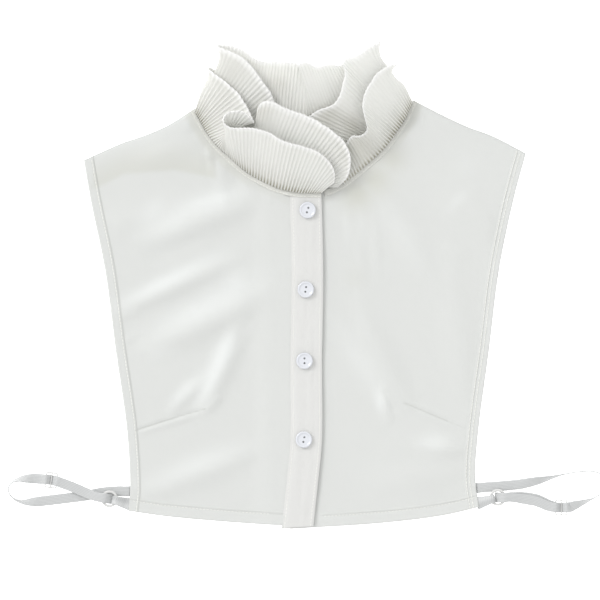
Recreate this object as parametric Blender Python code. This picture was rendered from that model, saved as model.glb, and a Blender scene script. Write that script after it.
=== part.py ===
# Detachable shirt front with a two-tier pleated ruffle collar, laid flat.
# Millimetres in the tables, metres in the objects. +X is the viewer's right, +Y runs
# towards the collar, +Z is up from the table. Left and right are the viewer's.

import math

import bmesh
import bpy
import numpy as np
from mathutils import Vector

MM = 0.001

# Cloth
WALL = 1.0
SEAM_GAP = 0.3
HEM_RISE = 0.5
ARMHOLE_HEM = 7.5
BOTTOM_HEM = 9.5
LAYER = WALL + SEAM_GAP
BACK_INSET = 1.0

# Heights of the undersides of the layers above the table
BACK_Z = 0.0
RIGHT_Z = BACK_Z + LAYER
LEFT_Z = RIGHT_Z
OVERLAP_Z = RIGHT_Z + LAYER
PLACKET_Z = OVERLAP_Z + LAYER

# Placket and buttons
OVERLAP_EDGE_X = -14.0
STEP_START_X = -46.0
STEP_LENGTH = 18.0
PLACKET_WIDTH = 25.5
BUTTON_RADIUS = 6.6
BUTTON_THICKNESS = 2.3
BUTTON_RIM = 1.3
BUTTON_DISH = 0.7
BUTTON_HOLE_RADIUS = 0.85
BUTTON_HOLE_SPACING = 3.8

# Neck
BAND_WIDTH = 5.0
BAND_RAMP = 6.0
OUTER_SEAM_SHIFT = 1.8
INNER_SEAM_SHIFT = -2.4
PANEL_SEAM_SHIFT = 0.8
OUTER_BACK_SHIFT = 2.4
INNER_BACK_SHIFT = -0.6

# Ruffle
PLEATS_PER_TIER = 94
PLEAT_AT_SEAM = 0.35
PLEAT_AT_EDGE = 0.75
TIGHT_BEND = 2.0
EASY_BEND = 6.5
SHIFT_BEND = 3.0
BEND_SHIFT = 0.85
BEND_REACH = 2
PLEAT_ROOM = 2.2
SLANT_FLAT = 0.35
SLANT_FULL = 0.8
RUFFLE_ROWS = 5
FOLD_ROUNDING = 1
RISE_POWER = 1.35

# Straps
STRAP_AT_RING = 6.0
STRAP_THICKNESS = 1.0
TABLE_CLEAR = 0.2
RING_RADIUS = 5.8
RING_WIRE = 1.0
RING_Z = 3.7
STRAP_IN_RING = 2.8
SLIDER_LENGTH = 9.8
SLIDER_WIDTH = 13.0
SLIDER_BAR = 0.45
SLIDER_RAIL = 1.1
SLIDER_EASE = 0.2
SLIDER_Z = 2.2
TAB_WIDTH = 9.0
TAB_LEAD = 1.5
TAB_TOP_Z = 2.7
TAB_LOW_Z = 0.75

# Edges of the cut pieces: x, y
ARMHOLE_LEFT = (
    (-143.0, -181.0),
    (-141.5, -164.5),
    (-144.0, -116.5),
    (-153.0, -52.5),
    (-161.5, 11.5),
    (-173.0, 67.5),
    (-178.5, 99.5),
)
ARMHOLE_RIGHT = (
    (137.5, -178.0),
    (134.5, -154.5),
    (137.0, -116.5),
    (145.5, -52.5),
    (153.5, 11.5),
    (165.0, 67.5),
    (175.0, 105.0),
)
SHOULDER_LEFT = (
    (-178.5, 99.5),
    (-149.5, 112.5),
    (-130.5, 119.0),
    (-111.0, 127.5),
    (-89.5, 141.0),
)
SHOULDER_RIGHT = (
    (175.0, 105.0),
    (148.0, 119.0),
    (129.0, 126.0),
    (109.5, 135.0),
    (85.0, 147.5),
)
HEM_LEFT = (
    (-143.0, -181.0),
    (-111.0, -185.5),
    (-53.5, -190.5),
    (5.0, -194.0),
)
HEM_RIGHT = (
    (137.5, -178.0),
    (109.5, -184.5),
    (61.5, -190.5),
    (-13.5, -195.5),
)
CENTRE_FRONT = (
    (5.0, -194.0),
    (9.0, -156.5),
    (12.0, -124.5),
    (12.0, -60.5),
    (13.0, 10.5),
    (11.5, 75.0),
)
UNDERLAP_EDGE = (
    (-13.5, -195.5),
    (-14.0, -60.0),
    (-14.5, 75.2),
)
NECK_LEFT = (
    (11.5, 75.2),
    (-5.5, 75.4),
    (-15.0, 77.0),
    (-26.5, 80.5),
    (-37.5, 86.0),
    (-47.0, 91.5),
    (-61.0, 103.5),
    (-73.0, 115.5),
    (-81.5, 128.5),
    (-88.0, 140.5),
)
NECK_RIGHT = (
    (82.5, 147.5),
    (77.5, 135.5),
    (69.5, 123.0),
    (60.0, 110.0),
    (48.0, 99.0),
    (34.5, 87.5),
    (28.0, 82.8),
    (14.0, 76.5),
    (-14.5, 75.2),
)
NECK_BACK = (
    (-86.5, 142.5),
    (-74.5, 139.5),
    (-36.0, 133.0),
    (9.0, 132.0),
    (53.5, 138.5),
    (82.5, 147.5),
)

# Soft swells of the fronts: from x, y to x, y, half width, height
SWELLS = (
    (-158.0, 46.0, -70.0, 74.0, 15.0, 2.6),
    (-146.0, -20.0, -66.0, 22.0, 13.0, 3.0),
    (-132.0, -74.0, -52.0, -42.0, 17.0, 2.4),
    (-86.0, -100.0, -78.0, -46.0, 20.0, 2.6),
    (-116.0, -150.0, -60.0, -160.0, 18.0, 1.6),
    (-130.0, 100.0, -100.0, 108.0, 14.0, 1.4),
    (118.0, 74.0, 150.0, 40.0, 15.0, 1.8),
    (66.0, 60.0, 88.0, -20.0, 17.0, 2.4),
    (78.0, -98.0, 84.0, -44.0, 19.0, 2.6),
    (116.0, 6.0, 124.0, -70.0, 14.0, 1.8),
    (62.0, -160.0, 112.0, -152.0, 18.0, 1.6),
)
CALM_FROM_PLACKET = 20.0
CALM_FROM_EDGE = 18.0

# Outer tier of the ruffle, a row for each fold: share of the seam, free edge x, y, z
OUTER_LEFT = (
    (0.00, 21.6, 81.5, 12.0),
    (0.04, 22.4, 90.0, 17.0),
    (0.08, 17.6, 98.8, 21.5),
    (0.14, 8.0, 106.0, 25.0),
    (0.22, -6.4, 110.8, 27.5),
    (0.31, -20.8, 115.6, 29.5),
    (0.41, -34.4, 122.8, 31.5),
    (0.49, -47.2, 125.2, 32.5),
    (0.56, -59.2, 124.4, 32.0),
    (0.62, -67.4, 129.6, 31.0),
    (0.67, -64.0, 137.0, 29.0),
    (0.71, -52.6, 138.6, 27.5),
    (0.75, -45.0, 133.5, 25.5),
    (0.79, -41.5, 128.0, 21.5),
    (0.84, -45.5, 138.0, 18.0),
    (0.89, -53.6, 150.8, 17.0),
    (0.95, -66.4, 162.8, 15.5),
    (1.00, -78.8, 173.0, 10.0),
)
OUTER_BACK = (
    (0.02, -75.5, 172.5, 3.6),
    (0.14, -63.0, 167.0, 2.2),
    (0.28, -47.0, 164.0, 2.6),
    (0.42, -30.0, 163.5, 2.1),
    (0.56, -9.0, 163.5, 2.6),
    (0.70, 15.0, 165.0, 2.1),
    (0.84, 40.0, 168.0, 2.5),
    (0.97, 64.0, 173.0, 3.6),
)
OUTER_RIGHT = (
    (0.00, 72.0, 176.0, 10.0),
    (0.07, 63.2, 174.0, 18.0),
    (0.15, 53.6, 166.0, 22.0),
    (0.24, 47.2, 155.6, 24.0),
    (0.33, 44.8, 144.4, 25.0),
    (0.42, 46.4, 132.4, 25.0),
    (0.51, 48.0, 122.5, 22.5),
    (0.60, 41.0, 118.0, 18.0),
    (0.70, 35.5, 118.5, 13.5),
    (0.80, 31.2, 113.0, 9.6),
    (0.91, 25.8, 105.0, 8.0),
    (1.00, 20.5, 98.6, 7.6),
)

# Inner tier of the ruffle: share of the seam, free edge x, y, z
INNER_LEFT = (
    (0.00, 25.0, 81.0, 8.8),
    (0.04, 33.0, 91.6, 12.4),
    (0.08, 34.4, 103.6, 15.0),
    (0.13, 29.6, 114.0, 17.4),
    (0.19, 20.0, 122.8, 19.2),
    (0.26, 7.2, 130.8, 20.0),
    (0.34, -8.0, 137.2, 21.5),
    (0.41, -20.5, 142.2, 23.0),
    (0.45, -29.0, 147.2, 24.0),
    (0.49, -36.6, 145.4, 23.2),
    (0.53, -39.6, 139.0, 20.4),
    (0.58, -37.0, 133.0, 16.0),
    (0.63, -31.6, 132.6, 12.4),
    (0.69, -27.5, 139.0, 10.4),
    (0.76, -27.0, 150.0, 9.8),
    (0.82, -35.2, 162.8, 11.0),
    (0.88, -44.0, 174.8, 12.8),
    (0.94, -56.0, 184.4, 13.6),
    (0.98, -70.6, 190.6, 11.2),
)
INNER_BACK = (
    (0.06, -64.0, 192.0, 6.4),
    (0.13, -52.0, 189.0, 5.8),
    (0.22, -41.0, 180.5, 6.0),
    (0.29, -30.5, 179.0, 5.6),
    (0.37, -19.0, 178.0, 6.4),
    (0.44, -8.0, 176.5, 5.8),
    (0.50, -2.6, 172.8, 7.4),
    (0.56, 1.2, 177.0, 9.4),
    (0.62, 8.5, 173.2, 8.4),
    (0.69, 15.5, 177.0, 7.0),
    (0.77, 25.0, 175.5, 8.4),
    (0.85, 34.5, 177.0, 6.6),
    (0.89, 45.0, 183.0, 6.0),
    (0.95, 53.0, 190.4, 6.2),
)
INNER_RIGHT = (
    (0.02, 59.4, 195.3, 11.2),
    (0.08, 48.8, 190.0, 15.0),
    (0.15, 38.4, 181.6, 16.2),
    (0.21, 29.5, 178.6, 17.0),
    (0.28, 30.0, 169.5, 17.0),
    (0.36, 27.6, 155.6, 17.0),
    (0.44, 22.0, 141.0, 15.0),
    (0.52, 25.0, 131.0, 11.6),
    (0.60, 31.5, 126.0, 8.8),
    (0.69, 27.5, 119.0, 7.0),
    (0.80, 24.0, 111.5, 5.6),
    (0.91, 18.4, 106.0, 4.6),
    (1.00, 12.6, 100.2, 4.4),
)

# Height of each tier's middle at the seam: share of the seam, z
OUTER_SEAM_LEFT = ((0.0, 7.8), (0.21, 7.8), (0.30, 6.6), (0.60, 5.6), (0.85, 9.6), (1.0, 7.2))
OUTER_SEAM_BACK = ((0.0, 4.0), (0.1, 2.0), (0.9, 2.0), (1.0, 4.0))
OUTER_SEAM_RIGHT = ((0.0, 7.2), (0.15, 9.6), (0.4, 5.2), (1.0, 4.8))
INNER_SEAM_LEFT = ((0.0, 4.8), (0.2, 4.4), (0.5, 3.6), (0.86, 8.2), (1.0, 7.0))
INNER_SEAM_BACK = ((0.0, 4.6), (0.1, 4.5), (0.9, 4.5), (1.0, 4.6))
INNER_SEAM_RIGHT = ((0.0, 7.0), (0.14, 8.2), (0.5, 3.4), (1.0, 2.9))

# Straps, from the back's lower corner to the ring: x, y, z, tilt in degrees, width
STRAP_LEFT = (
    (-141.2, -165.4, 0.55, 0, 8.0),
    (-154.0, -165.4, 0.55, 0, 8.0),
    (-165.5, -166.6, 0.55, 0, 8.0),
    (-176.0, -168.8, 0.55, 0, 8.0),
    (-189.5, -170.6, 0.55, 0, 8.0),
    (-202.5, -172.2, 0.55, 0, 8.0),
    (-213.0, -173.4, 0.60, 8, 8.0),
    (-220.0, -173.9, 0.60, 34, 8.0),
    (-227.0, -173.9, 0.60, 66, 8.0),
    (-233.6, -171.9, 0.60, 84, 8.0),
    (-237.9, -167.6, 0.60, 90, 8.0),
    (-238.9, -162.6, 0.60, 92, 8.0),
    (-236.0, -158.2, 0.60, 98, 8.0),
    (-230.5, -155.9, 0.60, 116, 8.0),
    (-224.5, -155.3, 0.60, 144, 8.0),
    (-218.5, -155.3, 0.60, 172, 8.0),
    (-212.6, -155.6, 1.60, 180, 8.0),
    (-209.0, -155.8, 3.70, 180, 8.0),
    (-206.7, -156.1, 2.15, 180, 8.0),
    (-204.6, -156.4, 0.62, 180, 8.0),
    (-202.5, -156.8, 2.15, 180, 8.0),
    (-200.2, -157.2, 3.70, 180, 8.0),
    (-196.0, -158.8, 3.30, 180, 8.0),
    (-185.5, -162.8, 3.30, 180, 8.0),
    (-176.0, -167.0, 3.60, 180, 8.0),
    (-168.5, -169.8, 4.90, 180, 7.0),
)
STRAP_LEFT_RETURN = (
    (-168.5, -169.8, 2.00, 0, 7.0),
    (-176.0, -167.0, 1.95, 0, 8.0),
    (-185.5, -162.8, 1.95, 0, 8.0),
    (-194.0, -159.5, 1.50, 0, 8.0),
    (-199.5, -157.6, 0.62, 0, 8.0),
    (-200.9, -157.1, 0.55, 0, 8.0),
)
STRAP_RIGHT = (
    (135.4, -162.9, 0.55, 0, 8.0),
    (146.5, -161.9, 0.55, 0, 8.0),
    (158.5, -161.0, 0.55, 0, 8.0),
    (170.5, -159.8, 0.80, 4, 8.0),
    (182.5, -157.4, 2.10, 30, 8.0),
    (194.5, -154.6, 3.80, 66, 8.0),
    (206.5, -151.6, 4.25, 86, 8.0),
    (218.5, -149.6, 4.30, 90, 8.0),
    (229.5, -149.6, 4.30, 90, 8.0),
    (237.2, -153.0, 4.30, 90, 8.0),
    (239.5, -159.5, 4.30, 90, 8.0),
    (236.5, -166.0, 4.30, 90, 8.0),
    (229.5, -170.8, 4.20, 96, 8.0),
    (221.0, -174.2, 3.20, 122, 8.0),
    (213.5, -176.9, 1.60, 160, 8.0),
    (211.2, -177.9, 1.60, 176, 8.0),
    (207.8, -178.3, 3.70, 180, 7.8),
    (205.5, -178.4, 2.15, 180, 7.8),
    (203.4, -178.5, 0.62, 180, 7.8),
    (201.3, -178.5, 2.15, 180, 7.8),
    (199.0, -178.3, 3.75, 180, 7.8),
    (193.4, -177.4, 3.30, 180, 7.8),
    (184.0, -173.6, 3.30, 180, 8.0),
    (173.5, -171.6, 3.60, 180, 8.0),
    (163.5, -170.4, 4.90, 180, 7.0),
)
STRAP_RIGHT_RETURN = (
    (163.5, -170.4, 2.00, 0, 7.0),
    (173.5, -171.6, 1.95, 0, 8.0),
    (184.0, -173.6, 1.95, 0, 8.0),
    (193.6, -177.2, 1.50, 0, 8.0),
    (198.4, -178.0, 0.62, 0, 8.0),
    (199.8, -178.3, 0.55, 0, 8.0),
)
RING_LEFT = (-158.0, -171.5)
RING_RIGHT = (152.6, -170.3)
SLIDER_LEFT = (-204.6, -156.5, -8.0)
SLIDER_RIGHT = (203.4, -178.4, 1.0)
TAB_LEFT_END = (-144.0, -175.2)
TAB_RIGHT_END = (138.7, -174.4)

BUTTONS = (
    (0.5, 59.5, -18.0),
    (-1.0, -4.0, -10.0),
    (-2.0, -61.0, 0.0),
    (-2.5, -124.0, -12.0),
)


def clear_scene():
    for item in list(bpy.data.objects):
        bpy.data.objects.remove(item, do_unlink=True)


def make_material(name, colour, roughness):
    material = bpy.data.materials.new(name)
    material.use_nodes = True
    shader = material.node_tree.nodes["Principled BSDF"]
    shader.inputs["Base Color"].default_value = (*colour, 1.0)
    shader.inputs["Roughness"].default_value = roughness
    shader.inputs["Metallic"].default_value = 0.0
    material.diffuse_color = (*colour, 1.0)
    return material


def smooth_rows(rows, steps):
    """A smooth curve through the rows, with the same columns, and steps to each span."""
    rows = np.array(rows, float)
    chords = np.sqrt(np.linalg.norm(np.diff(rows[:, :2], axis=0), axis=1)) + 0.05
    knots = np.concatenate([[0.0], np.cumsum(chords)])
    slopes = np.zeros_like(rows)
    spans = (rows[1:] - rows[:-1]) / chords[:, None]
    slopes[0] = spans[0]
    slopes[-1] = spans[-1]
    for i in range(1, len(rows) - 1):
        before = chords[i - 1]
        after = chords[i]
        slopes[i] = (spans[i - 1] * after + spans[i] * before) / (before + after)
    found = []
    for i in range(len(rows) - 1):
        length = knots[i + 1] - knots[i]
        for k in range(steps):
            t = k / steps
            found.append(
                (2 * t**3 - 3 * t**2 + 1) * rows[i]
                + (t**3 - 2 * t**2 + t) * length * slopes[i]
                + (3 * t**2 - 2 * t**3) * rows[i + 1]
                + (t**3 - t**2) * length * slopes[i + 1]
            )
    found.append(rows[-1])
    return np.array(found)


def lengths_along(line):
    return np.concatenate([[0.0], np.cumsum(np.linalg.norm(np.diff(line, axis=0), axis=1))])


def at_shares(line, shares):
    """Points of the line at these shares of its length."""
    along = lengths_along(line[:, :2])
    wanted = np.asarray(shares) * along[-1]
    return np.stack([np.interp(wanted, along, line[:, k]) for k in range(line.shape[1])], axis=-1)


def shifted(line, distance):
    """The line moved sideways, to its left for a positive distance."""
    tangent = np.gradient(line[:, :2], axis=0)
    tangent /= np.linalg.norm(tangent, axis=1)[:, None]
    left = np.stack([-tangent[:, 1], tangent[:, 0]], axis=1)
    moved = line.copy()
    moved[:, :2] += left * distance
    return moved


def smooth_step(value):
    value = np.clip(value, 0.0, 1.0)
    return value * value * (3 - 2 * value)


def edge_calm(x, y):
    """Nothing at the outline and the neckline, one well inside the fronts."""
    outline = np.concatenate(
        [
            np.array(side)
            for side in (
                ARMHOLE_LEFT,
                SHOULDER_LEFT,
                NECK_LEFT[::-1],
                NECK_RIGHT[::-1],
                SHOULDER_RIGHT[::-1],
                ARMHOLE_RIGHT[::-1],
                HEM_RIGHT,
                HEM_LEFT[::-1],
            )
        ]
    )
    starts = outline
    ends = np.roll(outline, -1, axis=0)
    nearest = np.full(np.shape(x), 1e9)
    for (ax, ay), (bx, by) in zip(starts, ends):
        span = (bx - ax) ** 2 + (by - ay) ** 2 + 1e-9
        share = np.clip(((x - ax) * (bx - ax) + (y - ay) * (by - ay)) / span, 0.0, 1.0)
        nearest = np.minimum(nearest, np.hypot(x - ax - share * (bx - ax), y - ay - share * (by - ay)))
    return smooth_step(nearest / CALM_FROM_EDGE)


def swell(x, y):
    """Height that the soft folds add to the fronts."""
    total = np.zeros(np.shape(x))
    for from_x, from_y, to_x, to_y, width, height in SWELLS:
        span = (to_x - from_x) ** 2 + (to_y - from_y) ** 2
        share = np.clip(((x - from_x) * (to_x - from_x) + (y - from_y) * (to_y - from_y)) / span, 0.0, 1.0)
        away = np.hypot(x - from_x - share * (to_x - from_x), y - from_y - share * (to_y - from_y))
        total = total + height * np.exp(-((away / width) ** 2))
    calm = smooth_step((np.abs(x) - CALM_FROM_PLACKET) / (2 * CALM_FROM_PLACKET))
    return total * calm * edge_calm(x, y)


def left_underside(x, y):
    step = smooth_step((x - STEP_START_X) / STEP_LENGTH)
    return LEFT_Z + (OVERLAP_Z - LEFT_Z) * step + swell(x, y)


def right_underside(x, y):
    return RIGHT_Z + swell(x, y)


def add_object(name, verts, faces, material, smooth):
    mesh = bpy.data.meshes.new(name)
    mesh.from_pydata([Vector(v) * MM for v in verts], [], faces)
    work = bmesh.new()
    work.from_mesh(mesh)
    bmesh.ops.recalc_face_normals(work, faces=work.faces)
    work.to_mesh(mesh)
    work.free()
    for polygon in mesh.polygons:
        polygon.use_smooth = smooth
    mesh.materials.append(material)
    made = bpy.data.objects.new(name, mesh)
    bpy.context.collection.objects.link(made)
    return made


def closed_sheet(name, lower, upper, material, smooth=True):
    """A closed wall between two grids of points with the same rows and columns."""
    rows, columns = lower.shape[:2]
    verts = [*lower.reshape(-1, 3), *upper.reshape(-1, 3)]
    offset = rows * columns

    def at(row, column):
        return row * columns + column

    faces = []
    for i in range(rows - 1):
        for j in range(columns - 1):
            a, b, c, d = at(i, j), at(i, j + 1), at(i + 1, j + 1), at(i + 1, j)
            faces.append((c, b, a))
            faces.append((d, c, a))
            faces.append((a + offset, b + offset, c + offset))
            faces.append((a + offset, c + offset, d + offset))
    rim = [at(0, j) for j in range(columns)]
    rim += [at(i, columns - 1) for i in range(1, rows)]
    rim += [at(rows - 1, j) for j in range(columns - 2, -1, -1)]
    rim += [at(i, 0) for i in range(rows - 2, 0, -1)]
    for k, a in enumerate(rim):
        b = rim[(k + 1) % len(rim)]
        faces.append((a, b, b + offset, a + offset))
    return add_object(name, verts, faces, material, smooth)


def coons_point(bottom, top, left, right, u, v, u_shares, v_shares):
    corner_00 = left[0]
    corner_10 = right[0]
    corner_01 = left[-1]
    corner_11 = right[-1]
    along_v = (1 - u) * at_shares(left, [v_shares])[0] + u * at_shares(right, [v_shares])[0]
    along_u = (1 - v) * at_shares(bottom, [u_shares])[0] + v * at_shares(top, [u_shares])[0]
    blend = (
        (1 - u) * (1 - v) * corner_00
        + u * (1 - v) * corner_10
        + (1 - u) * v * corner_01
        + u * v * corner_11
    )
    return along_v + along_u - blend


def front_grid(armhole, hem, centre, neck, shoulder, columns, rows):
    """Points of a front from its armhole to its centre edge and from hem to shoulder."""
    left = smooth_rows(armhole, 6)
    bottom = smooth_rows(hem, 6)
    top = smooth_rows(shoulder, 6)
    centre_line = smooth_rows(centre, 6)
    neck_line = shifted(smooth_rows(neck, 6), PANEL_SEAM_SHIFT)
    centre_length = lengths_along(centre_line)[-1]
    neck_length = lengths_along(neck_line)[-1]
    right = np.concatenate([centre_line, neck_line[1:]])
    corner = centre_length / (centre_length + neck_length)
    corner_row = round(corner * (rows - 1))
    right_shares = np.concatenate(
        [np.linspace(0.0, corner, corner_row + 1), np.linspace(corner, 1.0, rows - corner_row)[1:]]
    )
    hem_share = BOTTOM_HEM / lengths_along(left)[-1]
    v_values = np.linspace(0.0, 1.0, rows)
    v_values[1] = hem_share
    right_shares[1] = BOTTOM_HEM / (centre_length + neck_length)
    grid = np.zeros((rows, columns, 2))
    for i, v in enumerate(v_values):
        across = np.array(
            [coons_point(bottom, top, left, right, u, v, u, right_shares[i]) for u in np.linspace(0, 1, 33)]
        )
        across[:, :] += (1 - np.linspace(0, 1, 33))[:, None] * (
            at_shares(left, [v])[0] - at_shares(left, [right_shares[i]])[0]
        )
        width = lengths_along(across)[-1]
        shares = np.linspace(0.0, 1.0, columns)
        shares[1] = ARMHOLE_HEM / width
        shares[2:-1] = np.linspace(shares[1], 1.0, columns - 1)[1:-1]
        grid[i] = at_shares(across, shares)
    return grid


def front_panel(name, grid, underside, material):
    x = grid[..., 0]
    y = grid[..., 1]
    low = underside(x, y)
    rise = np.zeros(x.shape)
    rise[:, 0] = HEM_RISE
    rise[:, 1] = HEM_RISE
    rise[0, :] = HEM_RISE
    rise[1, :] = HEM_RISE
    rise *= smooth_step((np.abs(x - OVERLAP_EDGE_X / 2) - PLACKET_WIDTH) / BAND_WIDTH)
    lower = np.stack([x, y, low], axis=-1)
    upper = np.stack([x, y, low + WALL + rise], axis=-1)
    return closed_sheet(name, lower, upper, material)


def add_back(material):
    """The back, a flat piece under the fronts that shows inside the neck."""
    sides = (
        ARMHOLE_LEFT,
        SHOULDER_LEFT,
        NECK_BACK,
        SHOULDER_RIGHT[::-1],
        ARMHOLE_RIGHT[::-1],
        HEM_RIGHT[:-1],
        HEM_LEFT[::-1],
    )
    points = np.concatenate([smooth_rows(side, 2)[:-1] for side in sides])
    count = len(points)
    ahead = np.roll(points, -1, axis=0) - points
    behind = points - np.roll(points, 1, axis=0)
    ahead /= np.linalg.norm(ahead, axis=1)[:, None]
    behind /= np.linalg.norm(behind, axis=1)[:, None]
    inward = np.stack([ahead[:, 1] + behind[:, 1], -ahead[:, 0] - behind[:, 0]], axis=1)
    inward /= 1.0 + np.sum(ahead * behind, axis=1)[:, None]
    outline = points + inward * BACK_INSET
    verts = [(x, y, BACK_Z) for x, y in outline] + [(x, y, BACK_Z + WALL) for x, y in outline]
    faces = [tuple(range(count)), tuple(range(2 * count - 1, count - 1, -1))]
    for k in range(count):
        after = (k + 1) % count
        faces.append((k, k + count, after + count, after))
    return add_object("back_panel", verts, faces, material, False)


def strip(name, inner, outer, low, material, round_over=0.25):
    """A flat band between two lines of points, its upper corners eased."""
    shares = (0.0, round_over, 1.0 - round_over, 1.0)
    drops = (0.25, 0.0, 0.0, 0.25)
    lower = []
    upper = []
    for share, drop in zip(shares, drops):
        place = inner + (outer - inner) * share
        lower.append(np.column_stack([place, low]))
        upper.append(np.column_stack([place, low + WALL - drop]))
    return closed_sheet(name, np.array(lower), np.array(upper), material)


def add_placket(material):
    rows = 22
    edge = at_shares(smooth_rows(CENTRE_FRONT, 6), np.linspace(0.0, 1.0, rows))
    edge[0, 1] += 0.2
    inner = edge.copy()
    inner[:, 0] -= PLACKET_WIDTH
    inner[:, 1] += np.linspace(-1.6, 0.0, rows)
    low = np.full(rows, PLACKET_Z)
    return strip("placket", inner, edge, low, material, round_over=0.06)


def add_neck_bands(material):
    left = smooth_rows(NECK_LEFT, 3)
    seam = shifted(left, PANEL_SEAM_SHIFT)
    outer = shifted(left, PANEL_SEAM_SHIFT + BAND_WIDTH)
    rest = LEFT_Z + WALL + SEAM_GAP
    placket_edge = CENTRE_FRONT[-1][0] - PLACKET_WIDTH
    share = smooth_step((outer[:, 0] - (placket_edge - 1.0 - BAND_RAMP)) / BAND_RAMP)
    step = smooth_step((seam[:, 0] - STEP_START_X) / STEP_LENGTH)
    low = rest + (OVERLAP_Z - LEFT_Z) * step + (PLACKET_Z - OVERLAP_Z) * share
    strip("neck_band_left", seam, outer, low, material)
    right = smooth_rows(NECK_RIGHT, 3)
    right = right[right[:, 0] > CENTRE_FRONT[-1][0] + 1.0]
    seam = shifted(right, PANEL_SEAM_SHIFT)
    outer = shifted(right, PANEL_SEAM_SHIFT + BAND_WIDTH)
    low = np.full(len(seam), RIGHT_Z + WALL + SEAM_GAP)
    strip("neck_band_right", seam, outer, low, material)


def tier_rows(sides):
    """Seam points and free-edge points of a tier, a row for each of its folds."""
    found = []
    for neck, inset, heights, folds in sides:
        seam = shifted(smooth_rows(neck, 8), inset)
        shares = [fold[0] for fold in folds]
        points = at_shares(seam, shares)
        z = np.interp(shares, [h[0] for h in heights], [h[1] for h in heights])
        for point, height, fold in zip(points, z, folds):
            found.append((point[0], point[1], height, fold[1], fold[2], fold[3]))
    return found


def tier_surface(rows, columns):
    """The smooth middle of a tier: rows from seam to edge, columns along the seam."""
    dense = smooth_rows(rows, 24)
    seam = dense[:, :3]
    edge = dense[:, 3:]
    travel = 0.55 * lengths_along(seam) + 0.45 * lengths_along(edge)
    wanted = np.linspace(0.0, travel[-1], columns)
    seam = np.stack([np.interp(wanted, travel, seam[:, k]) for k in range(3)], axis=-1)
    edge = np.stack([np.interp(wanted, travel, edge[:, k]) for k in range(3)], axis=-1)
    shares = np.linspace(0.0, 1.0, RUFFLE_ROWS)
    surface = np.zeros((RUFFLE_ROWS, columns, 3))
    for i, share in enumerate(shares):
        surface[i] = seam + (edge - seam) * share
        risen = 1 - (1 - share) ** RISE_POWER
        surface[i, :, 2] = seam[:, 2] + (edge[:, 2] - seam[:, 2]) * risen
    for _ in range(FOLD_ROUNDING):
        beside = (surface[:, :-2] + surface[:, 2:]) / 2
        surface[:, 1:-1] = (surface[:, 1:-1] + beside) / 2
    return surface


def bend_radius(line):
    """How tightly each point of a line is bent, as a radius."""
    first = np.gradient(line, axis=0)
    second = np.gradient(first, axis=0)
    speed = np.linalg.norm(first, axis=1) + 1e-9
    turn = np.linalg.norm(np.cross(first, second), axis=1)
    return speed**3 / (turn + 1e-9)


def add_tier(name, sides, material):
    columns = 2 * PLEATS_PER_TIER + 1
    surface = tier_surface(tier_rows(sides), columns)
    along = np.gradient(surface, axis=1)
    up = np.gradient(surface, axis=0)
    normal = np.cross(along, up)
    area = np.linalg.norm(normal, axis=2)
    squareness = area / (np.linalg.norm(along, axis=2) * np.linalg.norm(up, axis=2))
    normal /= area[..., None]
    fold = np.where(np.arange(columns) % 2 == 0, 1.0, -1.0)
    lower = np.zeros_like(surface)
    upper = np.zeros_like(surface)
    for i in range(RUFFLE_ROWS):
        share = i / (RUFFLE_ROWS - 1)
        radius = bend_radius(surface[i])
        toward = np.sum(np.gradient(np.gradient(surface[i], axis=0), axis=0) * normal[i], axis=1)
        outward = -np.sign(toward) * (1 - smooth_step((radius - WALL / 2) / SHIFT_BEND)) * BEND_SHIFT
        ease = smooth_step((radius - TIGHT_BEND) / (EASY_BEND - TIGHT_BEND))
        ease *= smooth_step(np.linalg.norm(along[i], axis=1) / PLEAT_ROOM)
        ease *= smooth_step((squareness[i] - SLANT_FLAT) / (SLANT_FULL - SLANT_FLAT))
        window = 2 * BEND_REACH + 1
        beside = np.pad(ease, BEND_REACH, mode="edge")
        ease = np.min([beside[k : k + columns] for k in range(window)], axis=0)
        beside = np.pad(ease, BEND_REACH, mode="edge")
        ease = np.mean([beside[k : k + columns] for k in range(window)], axis=0)
        depth = (PLEAT_AT_SEAM + (PLEAT_AT_EDGE - PLEAT_AT_SEAM) * share) * ease
        beside = np.pad(outward, 1, mode="edge")
        outward = (beside[:-2] + 2 * beside[1:-1] + beside[2:]) / 4
        middle = surface[i] + normal[i] * (fold * depth + outward)[:, None]
        lower[i] = middle - normal[i] * (WALL / 2)
        upper[i] = middle + normal[i] * (WALL / 2)
    return closed_sheet(name, lower, upper, material, smooth=False)


def add_ruffles(material):
    add_tier(
        "ruffle_outer",
        (
            (NECK_LEFT, OUTER_SEAM_SHIFT, OUTER_SEAM_LEFT, OUTER_LEFT),
            (NECK_BACK, OUTER_BACK_SHIFT, OUTER_SEAM_BACK, OUTER_BACK),
            (NECK_RIGHT[:7], OUTER_SEAM_SHIFT, OUTER_SEAM_RIGHT, OUTER_RIGHT),
        ),
        material,
    )
    add_tier(
        "ruffle_inner",
        (
            (NECK_LEFT, INNER_SEAM_SHIFT, INNER_SEAM_LEFT, INNER_LEFT),
            (NECK_BACK, INNER_BACK_SHIFT, INNER_SEAM_BACK, INNER_BACK),
            (NECK_RIGHT[:7], INNER_SEAM_SHIFT, INNER_SEAM_RIGHT, INNER_RIGHT),
        ),
        material,
    )


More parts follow.
